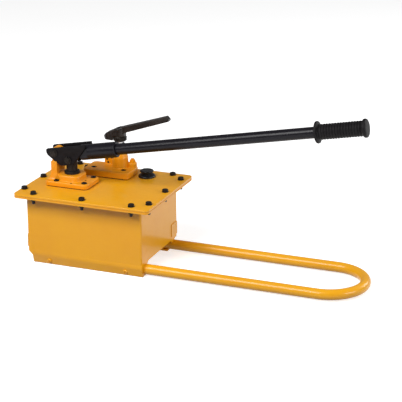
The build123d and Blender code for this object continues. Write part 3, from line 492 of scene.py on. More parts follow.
SHEET_YELLOW = Enamel("sheet_enamel", Slot.ENAMEL, (0.80, 0.365, 0.005), (0.76, 0.325, 0.004))
TUBE_YELLOW = Enamel("tube_enamel", Slot.ENAMEL, (0.82, 0.39, 0.008), (0.76, 0.33, 0.005), rough=0.26,
                     coat=0.20)
CAST_YELLOW = Enamel("cast_enamel", Slot.CASTING, (0.80, 0.315, 0.004), (0.73, 0.250, 0.003), sand=0.16 * MM,
                     rough=0.36, coat=0.16, coat_rough=0.14)
ARM_BLACK = SatinBlack("arm_black", Slot.BLACK, (0.007, 0.006, 0.009), (0.026, 0.025, 0.032), rough=0.20,
                       coat=0.04, specular=0.15, along=(0.03, 1.0, 1.0), turn=(0.0, math.radians(10.8), 0.0))
PLATE_BLACK = SatinBlack("plate_black", Slot.BLACK, (0.006, 0.005, 0.006), (0.022, 0.020, 0.021), rough=0.42,
                         along=(0.2, 1.0, 1.0), depth=0.04 * MM)
LEVER_BLACK = SatinBlack("lever_black", Slot.BLACK, (0.010, 0.007, 0.006), (0.055, 0.036, 0.030), rough=0.32,
                         coat=0.1, specular=0.3, along=(0.5, 1.0, 1.0), depth=0.09 * MM)
OXIDE = SatinBlack("black_oxide", Slot.OXIDE, (0.020, 0.017, 0.015), (0.075, 0.064, 0.056), metallic=0.55,
                   rough=0.32, along=(1.0, 1.0, 0.3))
STEEL = MachinedSteel()
GRIP_RUBBER = Moulded("grip_rubber", Slot.RUBBER, (0.006, 0.005, 0.006), (0.020, 0.019, 0.020), 0.46, 900.0,
                      0.05 * MM, 0.02)
CAP_PLASTIC = Moulded("cap_plastic", Slot.PLASTIC, (0.006, 0.006, 0.007), (0.014, 0.014, 0.016), 0.26, 1400.0,
                      0.012 * MM, specular=0.3)
GASKET = Moulded("gasket_fibre", Slot.FIBRE, (0.030, 0.014, 0.008), (0.075, 0.045, 0.030), 0.62, 1800.0,
                 0.05 * MM)
NITRILE = Moulded("seal_rubber", Slot.SEAL, (0.012, 0.012, 0.013), (0.03, 0.03, 0.03), 0.34, 1600.0,
                  0.01 * MM)


# ------------------------------------------------------------------------------------- modelling
def lone(obj: bpy.types.Object) -> None:
    """Makes one object the only selected one, and active.

    Args:
        obj: The object.
    """
    bpy.ops.object.select_all(action="DESELECT")
    obj.select_set(True)
    bpy.context.view_layer.objects.active = obj


class Piece:
    """A mesh that is being modelled. Each method is one step of the work."""

    def __init__(self, obj: bpy.types.Object, name: str) -> None:
        """Takes over a new primitive.

        Args:
            obj: The primitive.
            name: The piece's name.
        """
        self.obj = obj
        obj.name = name
        obj.data.name = name
        self.settle()

    # --- starts
    @classmethod
    def block(cls, name: str, low: Point, high: Point) -> "Piece":
        """A box between two corners.

        Args:
            name: The piece's name.
            low: Lowest corner.
            high: Highest corner.

        Returns:
            The piece.
        """
        bpy.ops.object.select_all(action="DESELECT")
        a, b = Vector(low), Vector(high)
        bpy.ops.mesh.primitive_cube_add(size=1.0, location=(a + b) / 2, scale=b - a)
        return cls(bpy.context.object, name)

    @classmethod
    def rod(cls, name: str, radius: float, low: float, high: float, centre: Point = (0.0, 0.0),
            sides: int = 48) -> "Piece":
        """An upright cylinder.

        Args:
            name: The piece's name.
            radius: Radius of its corners.
            low: Height of its foot.
            high: Height of its top.
            centre: Where its axis is in plan.
            sides: Number of sides.

        Returns:
            The piece.
        """
        bpy.ops.object.select_all(action="DESELECT")
        bpy.ops.mesh.primitive_cylinder_add(vertices=sides, radius=radius, depth=high - low,
                                            location=(centre[0], centre[1], (low + high) / 2))
        return cls(bpy.context.object, name)

    @classmethod
    def turned(cls, name: str, rings: Sequence[tuple[float, float]], sides: int = 64,
               hollow: bool = False) -> "Piece":
        """A turned piece on the Z axis, drawn out ring by ring.

        Args:
            name: The piece's name.
            rings: Radius and height of each ring in order.
            sides: Number of sides.
            hollow: Joins the last ring to the first one instead of closing both ends.

        Returns:
            The piece.
        """
        bpy.ops.object.select_all(action="DESELECT")
        radius, height = rings[0]
        bpy.ops.mesh.primitive_circle_add(vertices=sides, radius=radius, location=(0.0, 0.0, height),
                                          fill_type="NOTHING" if hollow else "NGON")
        piece = cls(bpy.context.object, name)
        bpy.ops.object.mode_set(mode="EDIT")
        bpy.ops.mesh.select_mode(type="VERT")
        bpy.ops.mesh.select_all(action="SELECT")
        for next_radius, next_height in (list(rings[1:]) + ([rings[0]] if hollow else [])):
            bpy.ops.mesh.extrude_region_move(
                TRANSFORM_OT_translate={"value": (0.0, 0.0, next_height - height)})
            share = next_radius / radius
            bpy.ops.transform.resize(value=(share, share, 1.0), center_override=(0.0, 0.0, next_height))
            radius, height = next_radius, next_height
        bpy.ops.object.mode_set(mode="OBJECT")
        return piece.mend()

    def copy(self, name: str) -> "Piece":
        """A copy with its own mesh.

        Args:
            name: The copy's name.

        Returns:
            The copy.
        """
        lone(self.obj)
        bpy.ops.object.duplicate(linked=False)
        return Piece(bpy.context.object, name)

    # --- whole-piece steps
    def settle(self) -> "Piece":
        """Puts the object at the origin, unturned, with its place in its mesh."""
        lone(self.obj)
        bpy.ops.object.transform_apply(location=True, rotation=True, scale=True)
        return self

    def move(self, by: Point = (0.0, 0.0, 0.0), turn: Point = (0.0, 0.0, 0.0)) -> "Piece":
        """Turns the piece about the origin and then moves it.

        Args:
            by: The shift.
            turn: Euler angles in radians.

        Returns:
            The piece.
        """
        self.obj.rotation_euler = turn
        self.obj.location = by
        return self.settle()

    def lay(self, lie: Lie, by: Point = (0.0, 0.0, 0.0)) -> "Piece":
        """Lays a turned piece down and moves it.

        Args:
            lie: Where its axis points.
            by: The shift.

        Returns:
            The piece.
        """
        return self.move(by, lie.value)

    def mend(self) -> "Piece":
        """Merges doubled corners and turns every face outward."""
        lone(self.obj)
        bpy.ops.object.mode_set(mode="EDIT")
        bpy.ops.mesh.select_all(action="SELECT")
        bpy.ops.mesh.remove_doubles(threshold=0.004 * MM)
        bpy.ops.mesh.normals_make_consistent(inside=False)
        bpy.ops.mesh.select_all(action="DESELECT")
        bpy.ops.object.mode_set(mode="OBJECT")
        return self

    def modify(self, kind: str, **settings: Any) -> "Piece":
        """Adds a modifier and applies it.

        Args:
            kind: Its type.
            settings: Its properties.

        Returns:
            The piece.
        """
        lone(self.obj)
        modifier = self.obj.modifiers.new(kind.lower(), kind)
        for key, value in settings.items():
            setattr(modifier, key, value)
        bpy.ops.object.modifier_apply(modifier=modifier.name)
        return self

    def carve(self, *cutters: "Piece", operation: str = "DIFFERENCE") -> "Piece":
        """Combines the piece with others, which are used up.

        Args:
            cutters: The other pieces.
            operation: DIFFERENCE, UNION or INTERSECT.

        Returns:
            The piece.
        """
        for cutter in cutters:
            self.modify("BOOLEAN", operation=operation, solver="EXACT", object=cutter.obj)
            mesh = cutter.obj.data
            bpy.data.objects.remove(cutter.obj)
            bpy.data.meshes.remove(mesh)
        return self

    def cast(self, voxel: float, passes: int) -> "Piece":
        """Melts the joined lumps into one casting with soft corners.

        Args:
            voxel: Size of the new faces.
            passes: Smoothing passes.

        Returns:
            The piece.
        """
        self.modify("REMESH", mode="VOXEL", voxel_size=voxel, adaptivity=0.0)
        return self.modify("SMOOTH", factor=0.5, iterations=passes)

    def soften(self, width: float) -> "Piece":
        """Rounds every edge sharper than 35 degrees.

        Args:
            width: Width of the rounding.

        Returns:
            The piece.
        """
        return self.modify("BEVEL", width=width, segments=2, limit_method="ANGLE",
                           angle_limit=math.radians(35.0), use_clamp_overlap=True)

    # --- edit-mode steps
    def _pick(self, faces: Optional[Callable[[Vector, Vector], bool]] = None,
              edges: Optional[Callable[[Vector, Vector], bool]] = None) -> None:
        """Enters edit mode with only some faces or edges selected.

        Args:
            faces: Tells from a face's centre and normal whether it is wanted.
            edges: Tells from an edge's two ends whether it is wanted.
        """
        lone(self.obj)
        bpy.ops.object.mode_set(mode="EDIT")
        bpy.ops.mesh.select_mode(type="FACE" if faces else "EDGE")
        bpy.ops.mesh.select_all(action="DESELECT")
        mesh = bmesh.from_edit_mesh(self.obj.data)
        if faces:
            for face in mesh.faces:
                face.select_set(bool(faces(face.calc_center_median(), face.normal)))
        if edges:
            for edge in mesh.edges:
                edge.select_set(bool(edges(edge.verts[0].co, edge.verts[1].co)))
        bmesh.update_edit_mesh(self.obj.data)

    def pull(self, faces: Callable[[Vector, Vector], bool], by: Point = (0.0, 0.0, 0.0),
             scale: Point = (1.0, 1.0, 1.0), extrude: bool = True) -> "Piece":
        """Extrudes or moves faces, then scales them about their own middle.

        Args:
            faces: Which faces.
            by: The shift.
            scale: The scale of each axis.
            extrude: Moves the faces themselves when false.

        Returns:
            The piece.
        """
        self._pick(faces=faces)
        if extrude:
            bpy.ops.mesh.extrude_region_move(TRANSFORM_OT_translate={"value": tuple(by)})
        else:
            bpy.ops.transform.translate(value=tuple(by))
        mesh = bmesh.from_edit_mesh(self.obj.data)
        picked = [vert.co for vert in mesh.verts if vert.select]
        middle = sum(picked, Vector()) / len(picked)
        bpy.ops.transform.resize(value=tuple(scale), center_override=middle)
        bpy.ops.object.mode_set(mode="OBJECT")
        return self

    def inset(self, faces: Callable[[Vector, Vector], bool], thickness: float, depth: float = 0.0,
              each: bool = False) -> "Piece":
        """Insets faces.

        Args:
            faces: Which faces.
            thickness: Width of the rim.
            depth: How far the inset faces rise.
            each: Insets every face by itself.

        Returns:
            The piece.
        """
        self._pick(faces=faces)
        bpy.ops.mesh.inset(thickness=thickness, depth=depth, use_individual=each)
        bpy.ops.object.mode_set(mode="OBJECT")
        return self

    def bevel(self, edges: Callable[[Vector, Vector], bool], width: float, segments: int = 6) -> "Piece":
        """Rounds some edges.

        Args:
            edges: Which edges, from their two ends.
            width: Width of the rounding.
            segments: Faces across it.

        Returns:
            The piece.
        """
        self._pick(edges=edges)
        bpy.ops.mesh.bevel(offset=width, offset_type="OFFSET", segments=segments, affect="EDGES",
                           clamp_overlap=True)
        bpy.ops.object.mode_set(mode="OBJECT")
        return self

    def slice(self, through: Point, off: Point) -> "Piece":
        """Cuts a side off with a plane and closes the cut.

        Args:
            through: A point of the plane.
            off: Direction of what is cut off.

        Returns:
            The piece.
        """
        lone(self.obj)
        bpy.ops.object.mode_set(mode="EDIT")
        bpy.ops.mesh.select_all(action="SELECT")
        bpy.ops.mesh.bisect(plane_co=tuple(through), plane_no=tuple(off), use_fill=True, clear_outer=True)
        bpy.ops.object.mode_set(mode="OBJECT")
        return self

    # --- finish
    def done(self, body: Body, finish: Finish, *stands_for: str, angle: float = 32.0) -> bpy.types.Object:
        """Shades the piece, gives it its finish and puts it on its body.

        Args:
            body: The body that it moves with.
            finish: Its finish.
            stands_for: The CAD nodes that it replaces.
            angle: Edges sharper than this many degrees stay crisp.

        Returns:
            The object.
        """
        lone(self.obj)
        bpy.ops.object.shade_smooth_by_angle(angle=math.radians(angle))
        self.obj.data.materials.clear()
        self.obj.data.materials.append(finish.material())
        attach(self.obj, body.value)
        if stands_for:
            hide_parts(*stands_for)
        log.info("%s: %d faces", self.obj.name, len(self.obj.data.polygons))
        return self.obj


def dress(finish: Finish, *nodes: str) -> None:
    """Gives CAD nodes a finish.

    Args:
        finish: The finish.
        nodes: The nodes' names.
    """
    for node in nodes:
        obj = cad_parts[node]
        if not obj.material_slots:
            obj.data.materials.append(finish.material())
        for slot in obj.material_slots:
            slot.material = finish.material()
        log.info("%s: %s", node, finish.name)


def middle(node: str) -> Vector:
    """The middle of a CAD node's box.

    Args:
        node: The node's name.

    Returns:
        The point.
    """
    low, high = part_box(node)
    return (low + high) / 2


def upright(a: Vector, b: Vector) -> bool:
    """Whether an edge stands upright.

    Args:
        a: One end.
        b: The other end.

    Returns:
        True for an upright edge.
    """
    return abs(a.x - b.x) < 1e-6 and abs(a.y - b.y) < 1e-6 and abs(a.z - b.z) > 1e-5


def level_at(height: float) -> Callable[[Vector, Vector], bool]:
    """A test for edges that lie at a height.

    Args:
        height: The height.

    Returns:
        The test.
    """
    return lambda a, b: abs(a.z - height) < 1e-5 and abs(b.z - height) < 1e-5


def profile(radius: float, height: float, *steps: tuple[float, float]) -> list[tuple[float, float]]:
    """Rings of a turned piece, given in millimetres from one radius and height.

    Args:
        radius: The radius that the steps count from.
        height: The height that the steps count from.
        steps: Millimetres to add to the radius and to the height of each ring.

    Returns:
        The rings in metres.
    """
    return [(radius + across * MM, height + up * MM) for across, up in steps]


def slab(name: str, low: Point, high: Point, corner: float, rim: float) -> Piece:
    """A plate with rounded corners and a rounded top rim.

    Args:
        name: The piece's name.
        low: Lowest corner.
        high: Highest corner.
        corner: Radius of its corners in plan.
        rim: Radius of the top rim.

    Returns:
        The piece.
    """
    piece = Piece.block(name, low, high).bevel(upright, corner, 8)
    return piece.bevel(level_at(high[2]), rim, 3)


# ------------------------------------------------------------------------------------- reservoir
@dataclass
class Reservoir:
    """The box with its lid, gasket, twelve bolts and drain."""

    corner: float = 12.0 * MM
    rim: float = 1.2 * MM
    end_pitch: float = 100.0 * MM
    side_pitch: float = 127.0 * MM
    bolt_r: float = 4.0 * MM
    flats: float = 13.0 * MM
    head: float = 5.3 * MM
    washer: float = 1.6 * MM
    washer_r: float = 8.0 * MM
    nut: float = 6.5 * MM

    def build_lid(self) -> None:
        """The lid plate, open under the pump and under the filler."""
        low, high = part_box("lid")
        lid = slab("lid_plate", low, high, self.corner, self.rim)
        for node, clear in (("pump_barrel", 0.5 * MM), ("filler_neck", -5.5 * MM)):
            inner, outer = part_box(node)
            radius = (outer.x - inner.x) / 2 + clear
            lid.carve(Piece.rod("hole", radius, low.z - MM, high.z + MM, middle(node).xy))
        lid.bevel(level_at(low.z), 0.5 * MM, 2)
        lid.done(Body.BASE, SHEET_YELLOW, "lid")

    def bolt_places(self) -> list[tuple[float, float]]:
        """The twelve bolt centres, from the box that the bolt heads fill."""
        low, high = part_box("lid_bolts")
        corner_r = self.flats / math.sqrt(3)
        centre = middle("lid")
        ends = [(x, y) for x in (low.x + corner_r, high.x - corner_r)
                for y in (-self.end_pitch, 0.0, self.end_pitch)]
        sides = [(centre.x + x, y) for y in (low.y + self.flats / 2, high.y - self.flats / 2)
                 for x in (-self.side_pitch, 0.0, self.side_pitch)]
        return ends + sides

    def hexagon(self, name: str, low: float, high: float, chamfer_top: bool) -> Piece:
        """A hexagon with the chamfer that rounds off its corners.

        Args:
            name: The piece's name.
            low: Height of its foot.
            high: Height of its top.
            chamfer_top: Puts the chamfer on the top rather than the foot.

        Returns:
            The piece.
        """
        corner_r = self.flats / math.sqrt(3)
        flat_r = self.flats / 2 * 0.96
        past = corner_r + 0.01 * MM
        rings = [(past, low), (past, high - MM), (flat_r, high)]
        if not chamfer_top:
            rings = [(flat_r, low), (past, low + MM), (past, high)]
        piece = Piece.rod(name, corner_r, low, high, sides=6).move(turn=(0.0, 0.0, math.pi / 6))
        piece.carve(Piece.turned("chamfer", rings, 48), operation="INTERSECT")
        return piece.mend()

    def build_fasteners(self) -> None:
        """One bolt, washer and nut, copied to every place."""
        lid_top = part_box("lid")[1].z
        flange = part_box("lid_nuts")[1].z
        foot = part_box("lid_bolts")[0].z
        seat = lid_top + self.washer
        bolt = self.hexagon("bolt", seat, seat + self.head, True)
        bolt.inset(lambda c, n: n.z > 0.9 and c.z > seat + self.head - 1e-5, 1.6 * MM, -0.25 * MM)
        shank = Piece.turned("shank", [(self.bolt_r - 0.8 * MM, foot), (self.bolt_r, foot + 0.9 * MM),
                                       (self.bolt_r, seat + 0.5 * MM)], 32)
        bolt.carve(shank, operation="UNION")
        rings = [(self.bolt_r, lid_top), *profile(self.washer_r, lid_top, (-0.2, 0.0), (0.0, 0.3)),
                 *profile(self.washer_r, seat, (0.0, -0.3), (-0.3, 0.0)), (self.bolt_r, seat)]
        washer = Piece.turned("washer", rings, 48, hollow=True)
        nut = self.hexagon("nut", flange - self.nut, flange, False)
        nut.carve(Piece.rod("bore", self.bolt_r, flange - self.nut - MM, flange + MM, sides=32))
        for number, (x, y) in enumerate(self.bolt_places(), 1):
            twist = math.radians(17.0 * number)
            for part, name, node in ((bolt, "lid_bolt", "lid_bolts"), (washer, "lid_washer", "lid_washers"),
                                     (nut, "lid_nut", "lid_nuts")):
                copy = part.copy(f"{name}_{number:02d}")
                copy.move((x, y, 0.0), (0.0, 0.0, twist if part is not nut else 0.0))
                copy.done(Body.BASE, OXIDE, node)
        for part in (bolt, washer, nut):
            bpy.data.objects.remove(part.obj)

    def dress(self) -> None:
        """Finishes for the parts that keep their own shape."""
        dress(SHEET_YELLOW, "tank", "end_tabs", "lid_gasket")
        dress(OXIDE, "drain_plug")
        dress(NITRILE, "drain_seal")

    def build(self) -> None:
        """Builds and dresses the reservoir."""
        self.build_lid()
        self.build_fasteners()
        self.dress()


# ------------------------------------------------------------------------------------- foot frame
@dataclass
class FootFrame:
    """The two folded rails and the bent tube."""

    sheet: float = 3.0 * MM
    upright_strip: float = 10.0 * MM
    lean: float = 5.5 * MM
    inset: float = 11.0 * MM
    tube_r: float = 12.7 * MM
    sides: int = 40
    bend_steps: int = 56

    def build_rails(self) -> None:
        """One rail folded out of sheet, and the same rail turned end for end."""
        low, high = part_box("front_rail")
        start = low.x - MM
        bend = high.z - self.upright_strip
        outer = low.y
        rail = Piece.block("front_foot_rail", (start, outer, bend), (high.x, outer + self.sheet, high.z))
        down = lambda c, n: n.z < -0.5 and c.y < outer + self.lean + self.sheet
        upper = (bend - self.sheet) / bend
        rail.pull(down, (0.0, self.lean * upper, self.sheet - bend))
        rail.pull(down, (0.0, self.lean * (1 - upper), -self.sheet))
        inward = lambda c, n: n.y > 0.5 and c.z < self.sheet
        rail.pull(inward, (0.0, high.y - outer - self.lean - self.sheet, 0.0))
        fold = lambda a, b: abs(a.x - b.x) > 0.1 and a.y < outer + self.lean + MM and (
            (abs(a.z - bend) < 1e-5 and a.y < outer + MM) or a.z < 1e-5)
        rail.bevel(fold, 2.2 * MM, 5)
        corner = Piece.block("corner", (start - MM, outer - MM, -MM),
                             (low.x + self.inset, high.y + MM, high.z + MM))
        corner.slice((low.x + self.inset - 0.5 * MM, 0.0, bend), (1.0, 0.0, 1.0))
        rail.carve(corner)
        rail.mend().soften(0.5 * MM)
        middle_x = (low.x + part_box("back_rail")[1].x) / 2
        back = rail.copy("back_foot_rail").move((2 * middle_x, 0.0, 0.0), (0.0, 0.0, math.pi))
        rail.done(Body.BASE, SHEET_YELLOW, "front_rail")
        back.done(Body.BASE, SHEET_YELLOW, "back_rail")

    def build_tube(self) -> None:
        """A ring drawn along one arm, spun round the loop and drawn back."""
        low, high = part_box("frame_tube")
        half = high.y - self.tube_r
        turn_x = high.x - self.tube_r - half
        height = (low.z + high.z) / 2
        bpy.ops.object.select_all(action="DESELECT")
        bpy.ops.mesh.primitive_circle_add(vertices=self.sides, radius=self.tube_r, fill_type="NGON",
                                          location=(low.x, -half, height), rotation=(0.0, math.pi / 2, 0.0))
        tube = Piece(bpy.context.object, "loop_tube")
        bpy.ops.object.mode_set(mode="EDIT")
        bpy.ops.mesh.select_mode(type="VERT")
        bpy.ops.mesh.select_all(action="SELECT")
        bpy.ops.mesh.extrude_region_move(TRANSFORM_OT_translate={"value": (turn_x - low.x, 0.0, 0.0)})
        bpy.ops.mesh.spin(steps=self.bend_steps, angle=-math.pi, center=(turn_x, 0.0, height),
                          axis=(0.0, 0.0, 1.0), use_auto_merge=False)
        bpy.ops.mesh.extrude_region_move(TRANSFORM_OT_translate={"value": (low.x - turn_x, 0.0, 0.0)})
        bpy.ops.object.mode_set(mode="OBJECT")
        tube.mend().done(Body.BASE, TUBE_YELLOW, "frame_tube", angle=50.0)

    def build(self) -> None:
        """Builds and dresses the foot frame."""
        self.build_rails()
        self.build_tube()
        dress(SHEET_YELLOW, "rail_screws", "rail_bushes")
        dress(CAP_PLASTIC, "frame_plugs")


# ------------------------------------------------------------------------------------- pump block
@dataclass
class PumpBlock:
    """The casting with the lever post, the gland and what hangs under it."""

    base_h: float = 12.0 * MM
    corner: float = 12.0 * MM
    boss: float = 31.0 * MM
    boss_corner: float = 18.0 * MM
    boss_top: float = 0.94
    post: tuple[float, float] = (8.25 * MM, 22.0 * MM)
    foot: tuple[float, float] = (17.25 * MM, 27.0 * MM)
    waist: tuple[float, float] = (10.75 * MM, 23.5 * MM)
    shoulder_drop: float = 20.3 * MM
    plug_hole: tuple[float, float] = (2.6 * MM, 3.6 * MM)
    eye_r: float = 12.0 * MM
    eye_half: float = 14.0 * MM
    pin_r: float = 7.03 * MM
    gland_head: float = 6.5 * MM
    pocket_r: float = 7.3 * MM
    pocket_rear: tuple[float, float] = (-28.0 * MM, 29.0 * MM)
    pocket_fore: tuple[float, float] = (44.0 * MM, 26.0 * MM)
    pocket_depth: float = 5.5 * MM
    plug_places: tuple[tuple[float, float], ...] = ((14.0 * MM, -35.0 * MM), (37.0 * MM, -3.0 * MM))
    voxel: float = 0.9 * MM

    def build_casting(self) -> None:
        """Base, boss, post and eye melted into one casting, then machined."""
        low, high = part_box("pump_block")
        axis = middle("plunger")
        pin = middle("fulcrum_pin")
        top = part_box("gland_nut")[1].z - self.gland_head
        deck = low.z + self.base_h
        body = slab("pump_casting", low, (high.x, high.y, deck), self.corner, 3.2 * MM)
        boss = Piece.block("boss", (axis.x - self.boss, axis.y - self.boss, low.z + MM),
                           (axis.x + self.boss, axis.y + self.boss, top))
        boss.bevel(upright, self.boss_corner, 10)
        boss.pull(lambda c, n: n.z > 0.9, scale=(self.boss_top, self.boss_top, 1.0), extrude=False)
        boss.bevel(level_at(top), 3.0 * MM, 4)
        foot = Piece.block("foot", (pin.x - self.foot[0], pin.y - self.foot[1], deck - 2 * MM),
                           (pin.x + self.foot[0], pin.y + self.foot[1], deck - MM))
        up = lambda c, n: n.z > 0.9
        foot.pull(up, (0.0, 0.0, 7 * MM), (self.waist[0] / self.foot[0], self.waist[1] / self.foot[1], 1.0))
        foot.pull(up, (0.0, 0.0, 12 * MM), (self.post[0] / self.waist[0], self.post[1] / self.waist[1], 1.0))
        foot.pull(up, (0.0, 0.0, pin.z - self.shoulder_drop - deck - 18 * MM))
        neck = self.eye_half / self.post[1]
        foot.pull(up, (0.0, 0.0, 0.0), (1.0, neck, 1.0))
        centre = lambda c, n: n.z > 0.9 and abs(c.y - pin.y) < MM
        foot.pull(centre, (0.0, 0.0, self.shoulder_drop))
        eye = Piece.rod("eye", self.eye_r, -self.eye_half, self.eye_half).lay(Lie.ALONG_Y, pin)
        body.carve(boss, foot, eye, operation="UNION")
        body.cast(self.voxel, 9)
        body.carve(*self.machining(low.z, axis, pin, top))
        body.done(Body.BASE, CAST_YELLOW, "pump_block", angle=40.0)

    def machining(self, foot: float, axis: Vector, pin: Vector, top: float) -> list[Piece]:
        """The bores and pockets that are cut after casting.

        Args:
            foot: Height of the casting's foot.
            axis: A point on the plunger's axis.
            pin: The middle of the fulcrum pin.
            top: Height of the boss.

        Returns:
            The cutters.
        """
        barrel_low, barrel_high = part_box("pump_barrel")
        barrel_r = (barrel_high.x - barrel_low.x) / 2
        seal_low, seal_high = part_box("plunger_seal")
        seal_r = (seal_high.x - seal_low.x) / 2
        cutters = [Piece.rod("pin_bore", self.pin_r, -0.05, 0.05).lay(Lie.ALONG_Y, pin),
                   Piece.rod("barrel_bore", barrel_r, foot - MM, barrel_high.z, axis.xy, 64),
                   Piece.rod("gland_bore", seal_r, barrel_high.z - MM, top + MM, axis.xy, 64)]
        deck = foot + self.base_h
        seat = deck - self.pocket_depth
        for dx, dy in (self.pocket_rear, self.pocket_fore):
            for side in (-1, 1):
                place = (axis.x + dx, axis.y + side * dy)
                cutters.append(Piece.rod("pocket", self.pocket_r, seat, top + 3 * MM, place))
        hole_r, hole_deep = self.plug_hole
        for dx, dy in self.plug_places:
            place = (axis.x + dx, axis.y + dy)
            cutters.append(Piece.rod("oil_way", hole_r, deck - hole_deep, deck + MM, place, 24))
        return cutters

    def build(self) -> None:
        """Builds and dresses the pump block."""
        self.build_casting()
        dress(OXIDE, "oil_way_plugs", "pump_block_screws")
        dress(GASKET, "pump_block_gasket")
        dress(OXIDE, "gland_nut", "plunger")
        dress(NITRILE, "wiper_ring", "plunger_seal")
        dress(STEEL, "pump_barrel", "foot_valve_body", "suction_ball", "suction_strainer",
              "delivery_valve_body", "delivery_ball", "delivery_spring", "pressure_pipe", "return_pipe")


# ------------------------------------------------------------------------------------- handle
@dataclass
class Handle:
    """Yoke plates, socket, tube and grip, drawn level about the fulcrum and then pitched up."""

    pitch: float = math.radians(10.8)
    plate_x: tuple[float, float] = (-19.0 * MM, 87.0 * MM)
    plate_z: tuple[float, float] = (-33.0 * MM, 12.5 * MM)
    pin_r: float = 7.0 * MM
    drive_pin_r: float = 6.0 * MM
    drop: float = 8.9 * MM
    socket_r: float = 19.0 * MM
    socket_x: tuple[float, float] = (65.0 * MM, 161.0 * MM)
    tongue: float = 15.0 * MM
    tube_r: float = 13.45 * MM
    grip_x: tuple[float, float] = (661.0 * MM, 781.0 * MM)
    grip_r: float = 18.0 * MM
    guard_r: float = 25.5 * MM
    knob_r: float = 21.5 * MM
    ribs: int = 15
    rib_shape: tuple[tuple[float, float], ...] = ((1.7 * MM, 0.0), (0.5 * MM, 0.16), (0.0, 0.32), (0.0, 0.62),
                                                  (0.5 * MM, 0.78), (1.7 * MM, 0.94))

    def raise_up(self, piece: Piece) -> Piece:
        """Pitches a level piece up and moves it onto the fulcrum.

        Args:
            piece: A piece drawn level about the fulcrum.

        Returns:
            The piece.
        """
        pin = middle("fulcrum_pin")
        return piece.move((pin.x, pin.y, pin.z), (0.0, -self.pitch, 0.0))

    def build_plate(self, node: str, name: str) -> None:
        """A yoke plate sawn from bar, with its two pin holes.

        Args:
            node: The CAD node that gives its place across the handle.
            name: The piece's name.
        """
        low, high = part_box(node)
        pin, drive = middle("fulcrum_pin"), middle("plunger_pin")
        y_low, y_high = low.y - pin.y, high.y - pin.y
        plate = Piece.block(name, (self.plate_x[0], y_low, self.plate_z[0]),
                            (self.plate_x[1], y_high, self.plate_z[1]))
        plate.slice((self.plate_x[0], 0.0, -1.5 * MM), (-31.5, 0.0, -39.0))
        plate.slice((48.0 * MM, 0.0, self.plate_z[0]), (2.2, 0.0, -39.0))
        across = lambda a, b: abs(a.y - b.y) > MM and abs(a.x - b.x) < 1e-6 and abs(a.z - b.z) < 1e-6
        plate.bevel(lambda a, b: across(a, b) and a.x < 30.0 * MM, 4.5 * MM, 6)
        gap = Vector((drive.x - pin.x, 0.0, drive.z - pin.z))
        along = gap.x * math.cos(self.pitch) + gap.z * math.sin(self.pitch)
        above = gap.z * math.cos(self.pitch) - gap.x * math.sin(self.pitch)
        for radius, x, z in ((self.pin_r, 0.0, 0.0), (self.drive_pin_r, along, above)):
            plate.carve(Piece.rod("pin_hole", radius, -0.05, 0.05).lay(Lie.ALONG_Y, (x, 0.0, z)))
        plate.mend().soften(0.7 * MM)
        self.raise_up(plate).done(Body.HANDLE, PLATE_BLACK, node)

    def build_socket(self) -> None:
        """The turned socket with its ringed mouth and flattened tongue."""
        start, end = self.socket_x
        r = self.socket_r
        rings = profile(r, start, (-1.2, 0.0), (0.0, 1.2))
        rings += profile(r, end, (0.0, -8.0), (-0.5, -7.4), (-0.5, -6.8), (0.0, -6.2), (0.0, -1.4),
                         (-1.4, 0.0))
        rings += profile(self.tube_r, end, (0.4, 0.0), (0.1, -1.0))
        socket = Piece.turned("handle_socket_turned", rings, 72).lay(Lie.ALONG_X, (0.0, 0.0, -self.drop))
        for side in (-1, 1):
            edge = sorted((side * self.tongue, side * 0.03))
            socket.carve(Piece.block("flat", (start - 0.01, edge[0], -0.06),
                                     (self.plate_x[1], edge[1], 0.06)))
        self.raise_up(socket.mend()).done(Body.HANDLE, ARM_BLACK, "handle_socket")

    def build_tube(self) -> None:
        """The plain tube between the socket and the grip."""
        start, end = self.socket_x[1] - 30 * MM, self.grip_x[1] - 5 * MM
        rings = profile(self.tube_r, start, (-1.0, 0.0), (0.0, 1.0))
        rings += profile(self.tube_r, end, (0.0, -1.0), (-1.0, 0.0))
        tube = Piece.turned("handle_tube_drawn", rings, 64).lay(Lie.ALONG_X, (0.0, 0.0, -self.drop))
        self.raise_up(tube).done(Body.HANDLE, ARM_BLACK, "handle_tube")

    def build_grip(self) -> None:
        """The moulded grip: guard, rounded ribs and knob."""
        start, end = self.grip_x
        r, guard, knob = self.grip_r, self.guard_r, self.knob_r
        rings = profile(self.tube_r, start, (0.6, 0.0))
        rings += profile(guard, start, (-2.2, 0.0), (-0.6, 0.6), (0.0, 2.0), (0.0, 4.0), (-0.6, 5.4),
                         (-2.2, 6.0))
        rings += profile(r, start, (1.0, 6.4), (-0.6, 7.8))
        first, last = start + 9.5 * MM, end - 12.5 * MM
        step = (last - first) / self.ribs
        for rib in range(self.ribs):
            for down, share in self.rib_shape:
                rings.append((r - down, first + (rib + share) * step))
        rings += profile(r, end, (-0.6, -11.5), (1.0, -10.0))
        rings += profile(knob, end, (-1.8, -9.0), (-0.4, -8.0), (0.0, -6.2), (0.0, -3.6), (-1.0, -1.6),
                         (-3.2, -0.4), (-7.0, 0.0))
        grip = Piece.turned("handle_grip_moulded", rings, 64).lay(Lie.ALONG_X, (0.0, 0.0, -self.drop))
        self.raise_up(grip).done(Body.HANDLE, GRIP_RUBBER, "handle_grip")

    def build(self) -> None:
        """Builds and dresses the handle."""
        self.build_plate("front_yoke_plate", "front_plate")
        self.build_plate("back_yoke_plate", "back_plate")
        self.build_socket()
        self.build_tube()
        self.build_grip()
        dress(OXIDE, "fulcrum_pin", "fulcrum_clips", "plunger_pin", "plunger_pin_clips", "socket_grub_screw")


